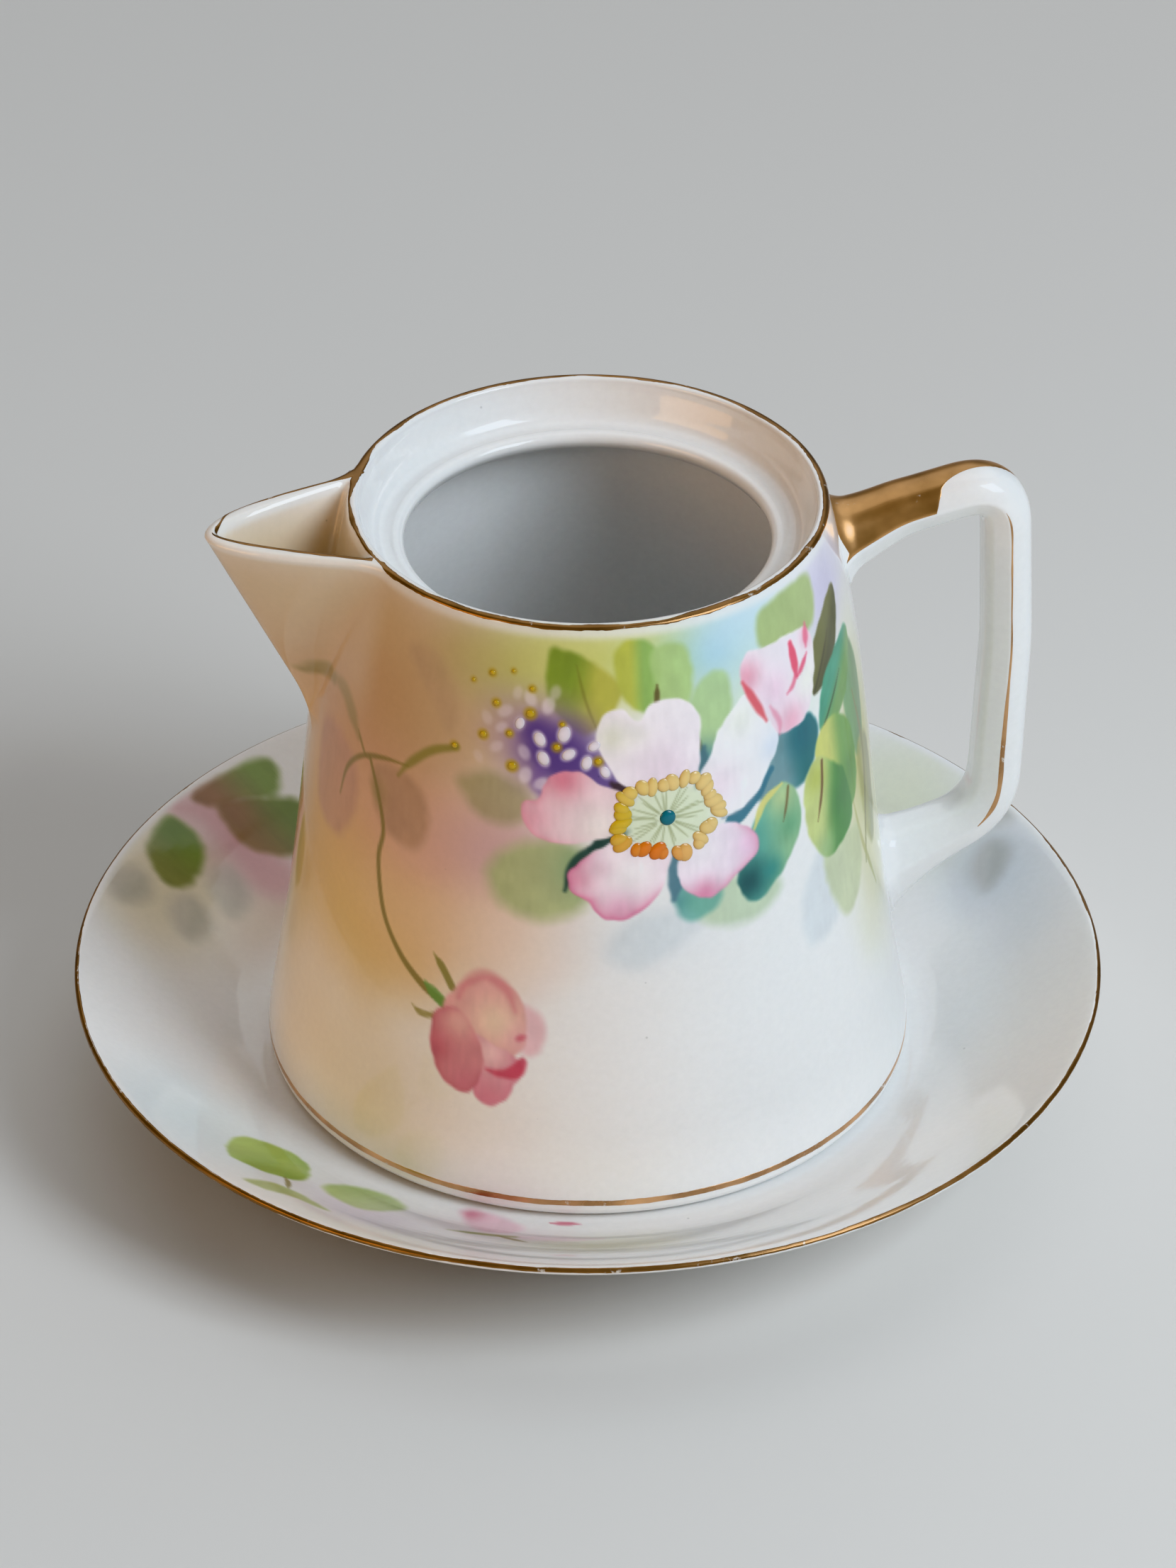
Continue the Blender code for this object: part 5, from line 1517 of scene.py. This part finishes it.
def gold_material(name, tint, wear):
    """Old burnished gold, with the glaze showing where it has worn through."""
    material, tree, shader = new_material(name)
    patches = noise(tree, 420.0, 4.0, 0.62)
    tone = noise(tree, 140.0, 3.0)
    start = 0.58 + 0.12 * (1 - wear)
    rubbed = ramp(tree, patches, (start, (0, 0, 0)), (start + 0.08, (1, 1, 1)))
    shades = ramp(tree, tone, (0.3, [0.62 * c for c in tint]), (0.72, [1.25 * c for c in tint]))
    scratches = node(tree, "Bump", "Normal", Strength=0.25, Distance=0.00006, Height=patches)
    set_up(tree, shader, Base_Color=mix_colors(tree, rubbed, shades, WORN_GLAZE),
           Metallic=spread(tree, rubbed, 0.92, 0.0), Roughness=spread(tree, tone, 0.18, 0.42),
           Normal=scratches)
    return material


# ---------------------------------------------------------------- stage

FLOOR_NEAR = (0.82, 0.79, 0.75, 1)      # pale paper, paler far off where less light falls
FLOOR_FAR = (0.97, 0.96, 0.95, 1)
FLOOR_HALF = 15.0
WORLD_LEFT = (0.44, 0.34, 0.24, 1)      # a warm room on the left, daylight on the right
WORLD_RIGHT = (0.76, 0.80, 0.85, 1)
BACKDROP = (1.15, 1.14, 1.12, 1)        # what the camera sees above the floor
WORLD_STRENGTH = 0.32
TARGET = (0, 0, 0.05)
CAMERA_PLACE = (-0.1473, -0.8356, 0.6267)
CAMERA_HEADING, CAMERA_PITCH = math.radians(10.0), math.radians(34.18)


def add_floor():
    corners = [(x * FLOOR_HALF, y * FLOOR_HALF, 0) for x, y in ((-1, -1), (1, -1), (1, 1), (-1, 1))]
    mesh = bpy.data.meshes.new("floor")
    mesh.from_pydata(corners, [], [(0, 1, 2, 3)])
    floor = add_object("floor", mesh)
    floor.location.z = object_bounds()[0].z - 0.0002
    material, tree, shader = new_material("floor_paper")
    reach = node(tree, "VectorMath", "Value", operation="LENGTH", Vector=place_on(tree))
    color = mix_colors(tree, spread(tree, reach, 0, 1, 0.4, 2.5), FLOOR_NEAR, FLOOR_FAR)
    set_up(tree, shader, Roughness=0.75, Base_Color=color)
    mesh.materials.append(material)
    floor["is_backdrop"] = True


def aim(item, direction):
    item.rotation_euler = Vector(direction).to_track_quat("-Z", "Y").to_euler()


def add_panel_light(name, place, size, power, color):
    """Soft rectangular light that faces the jug."""
    data = bpy.data.lights.new(name, "AREA")
    data.shape = "RECTANGLE"
    data.size, data.size_y = size
    data.energy = power
    data.color = color
    light = add_object(name, data)
    light.location = place
    aim(light, Vector(TARGET) - Vector(place))
    return light


def add_lights():
    """A window on the right, open sky, and a warm fill from the left on the pieces only."""
    add_panel_light("window", (0.62, -0.62, 0.72), (0.45, 0.6), 8.3, (0.80, 0.90, 1.0))
    room = add_panel_light("room", (-1.0, -0.46, 0.42), (0.8, 0.6), 4.0, (1.0, 0.55, 0.24))
    lit = bpy.data.collections.new("warm_side")
    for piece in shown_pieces():
        lit.objects.link(piece)
    room.light_linking.receiver_collection = lit
    sky = bpy.data.lights.new("sky", "SUN")
    sky.energy = 0.78
    sky.angle = math.radians(70)
    sky.color = (0.89, 0.95, 1.0)
    aim(add_object("sky", sky), (-0.1, -0.5, -0.9))


def add_world():
    world = bpy.data.worlds.new("studio")
    world.use_nodes = True
    tree = world.node_tree
    ahead = node(tree, "SeparateXYZ", "X", Vector=node(tree, "TexCoord", "Generated"))
    room = mix_colors(tree, spread(tree, ahead, 0, 1, -0.8, 0.5), WORLD_LEFT, WORLD_RIGHT)
    shown = mix_colors(tree, node(tree, "LightPath", "Is Camera Ray"), room, BACKDROP)
    set_up(tree, tree.nodes["Background"], Color=shown, Strength=WORLD_STRENGTH)
    bpy.context.scene.world = world
    bpy.context.scene.view_settings.view_transform = "Khronos PBR Neutral"


def add_camera():
    data = bpy.data.cameras.new("camera")
    data.lens = 162.7
    data.sensor_width = 36.0
    camera = add_object("camera", data)
    camera.location = CAMERA_PLACE
    level = math.cos(CAMERA_PITCH)
    aim(camera, (math.sin(CAMERA_HEADING) * level, math.cos(CAMERA_HEADING) * level, -math.sin(CAMERA_PITCH)))
    bpy.context.scene.camera = camera


# ---------------------------------------------------------------- assembly

def finish(piece, material, slot, *nodes):
    """Give a piece its material, and hide the CAD nodes it stands for; the slot is not used."""
    piece.data.materials.clear()
    piece.data.materials.append(material)
    if nodes:
        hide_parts(*nodes)


def main():
    glaze = porcelain_material("porcelain_glaze", 0.07)
    enamel = porcelain_material("raised_enamel", 0.16)
    # The gold tints differ by place as painted light: the rim, spout and plate gold is darkened as painted
    # shade for the dark surroundings it mirrors, and the handle line and foot gold is lightened as a painted
    # highlight for the bright light it mirrors; the panel gold sits between.
    gold = gold_material("gold_darkened_as_painted_shade", (0.32, 0.18, 0.08), 0.5)
    panel_gold = gold_material("panel_gold", (0.60, 0.34, 0.15), 0.35)
    line_gold = gold_material("line_gold", (0.66, 0.40, 0.22), 0.5)
    jug, rim, foot = build_jug()
    cut_pour_hole(jug)
    skin, along = handle_grid()
    near_line = handle_line("handle_line_gold_near", skin, along, -1, (0.9, 2.0), -0.1)
    far_line = handle_line("handle_line_gold_far", skin, along, 1, (3.6, 5.0), -2.2)
    finish(jug, glaze, "painted_porcelain", "jug_body", "spout")
    finish(build_handle(skin), glaze, "handle_porcelain", "handle")
    finish(build_plate(), glaze, "underplate_porcelain", "underplate")
    finish(build_beads(), enamel, "painted_porcelain")
    for piece, material, replaced in ((handle_panel(skin, along), panel_gold, "handle_panel_gilding"),
                                      (near_line, line_gold, "handle_line_gilding_right"),
                                      (far_line, line_gold, "handle_line_gilding_left"),
                                      (rim, gold, "rim_gilding"), (foot, line_gold, "foot_gilding"),
                                      (lip_band(), gold, "spout_gilding"),
                                      (plate_band(), gold, "underplate_gilding")):
        finish(piece, material, "antique_gilding", replaced)
    add_floor()
    add_lights()
    add_world()
    add_camera()
    bpy.context.view_layer.update()


main()
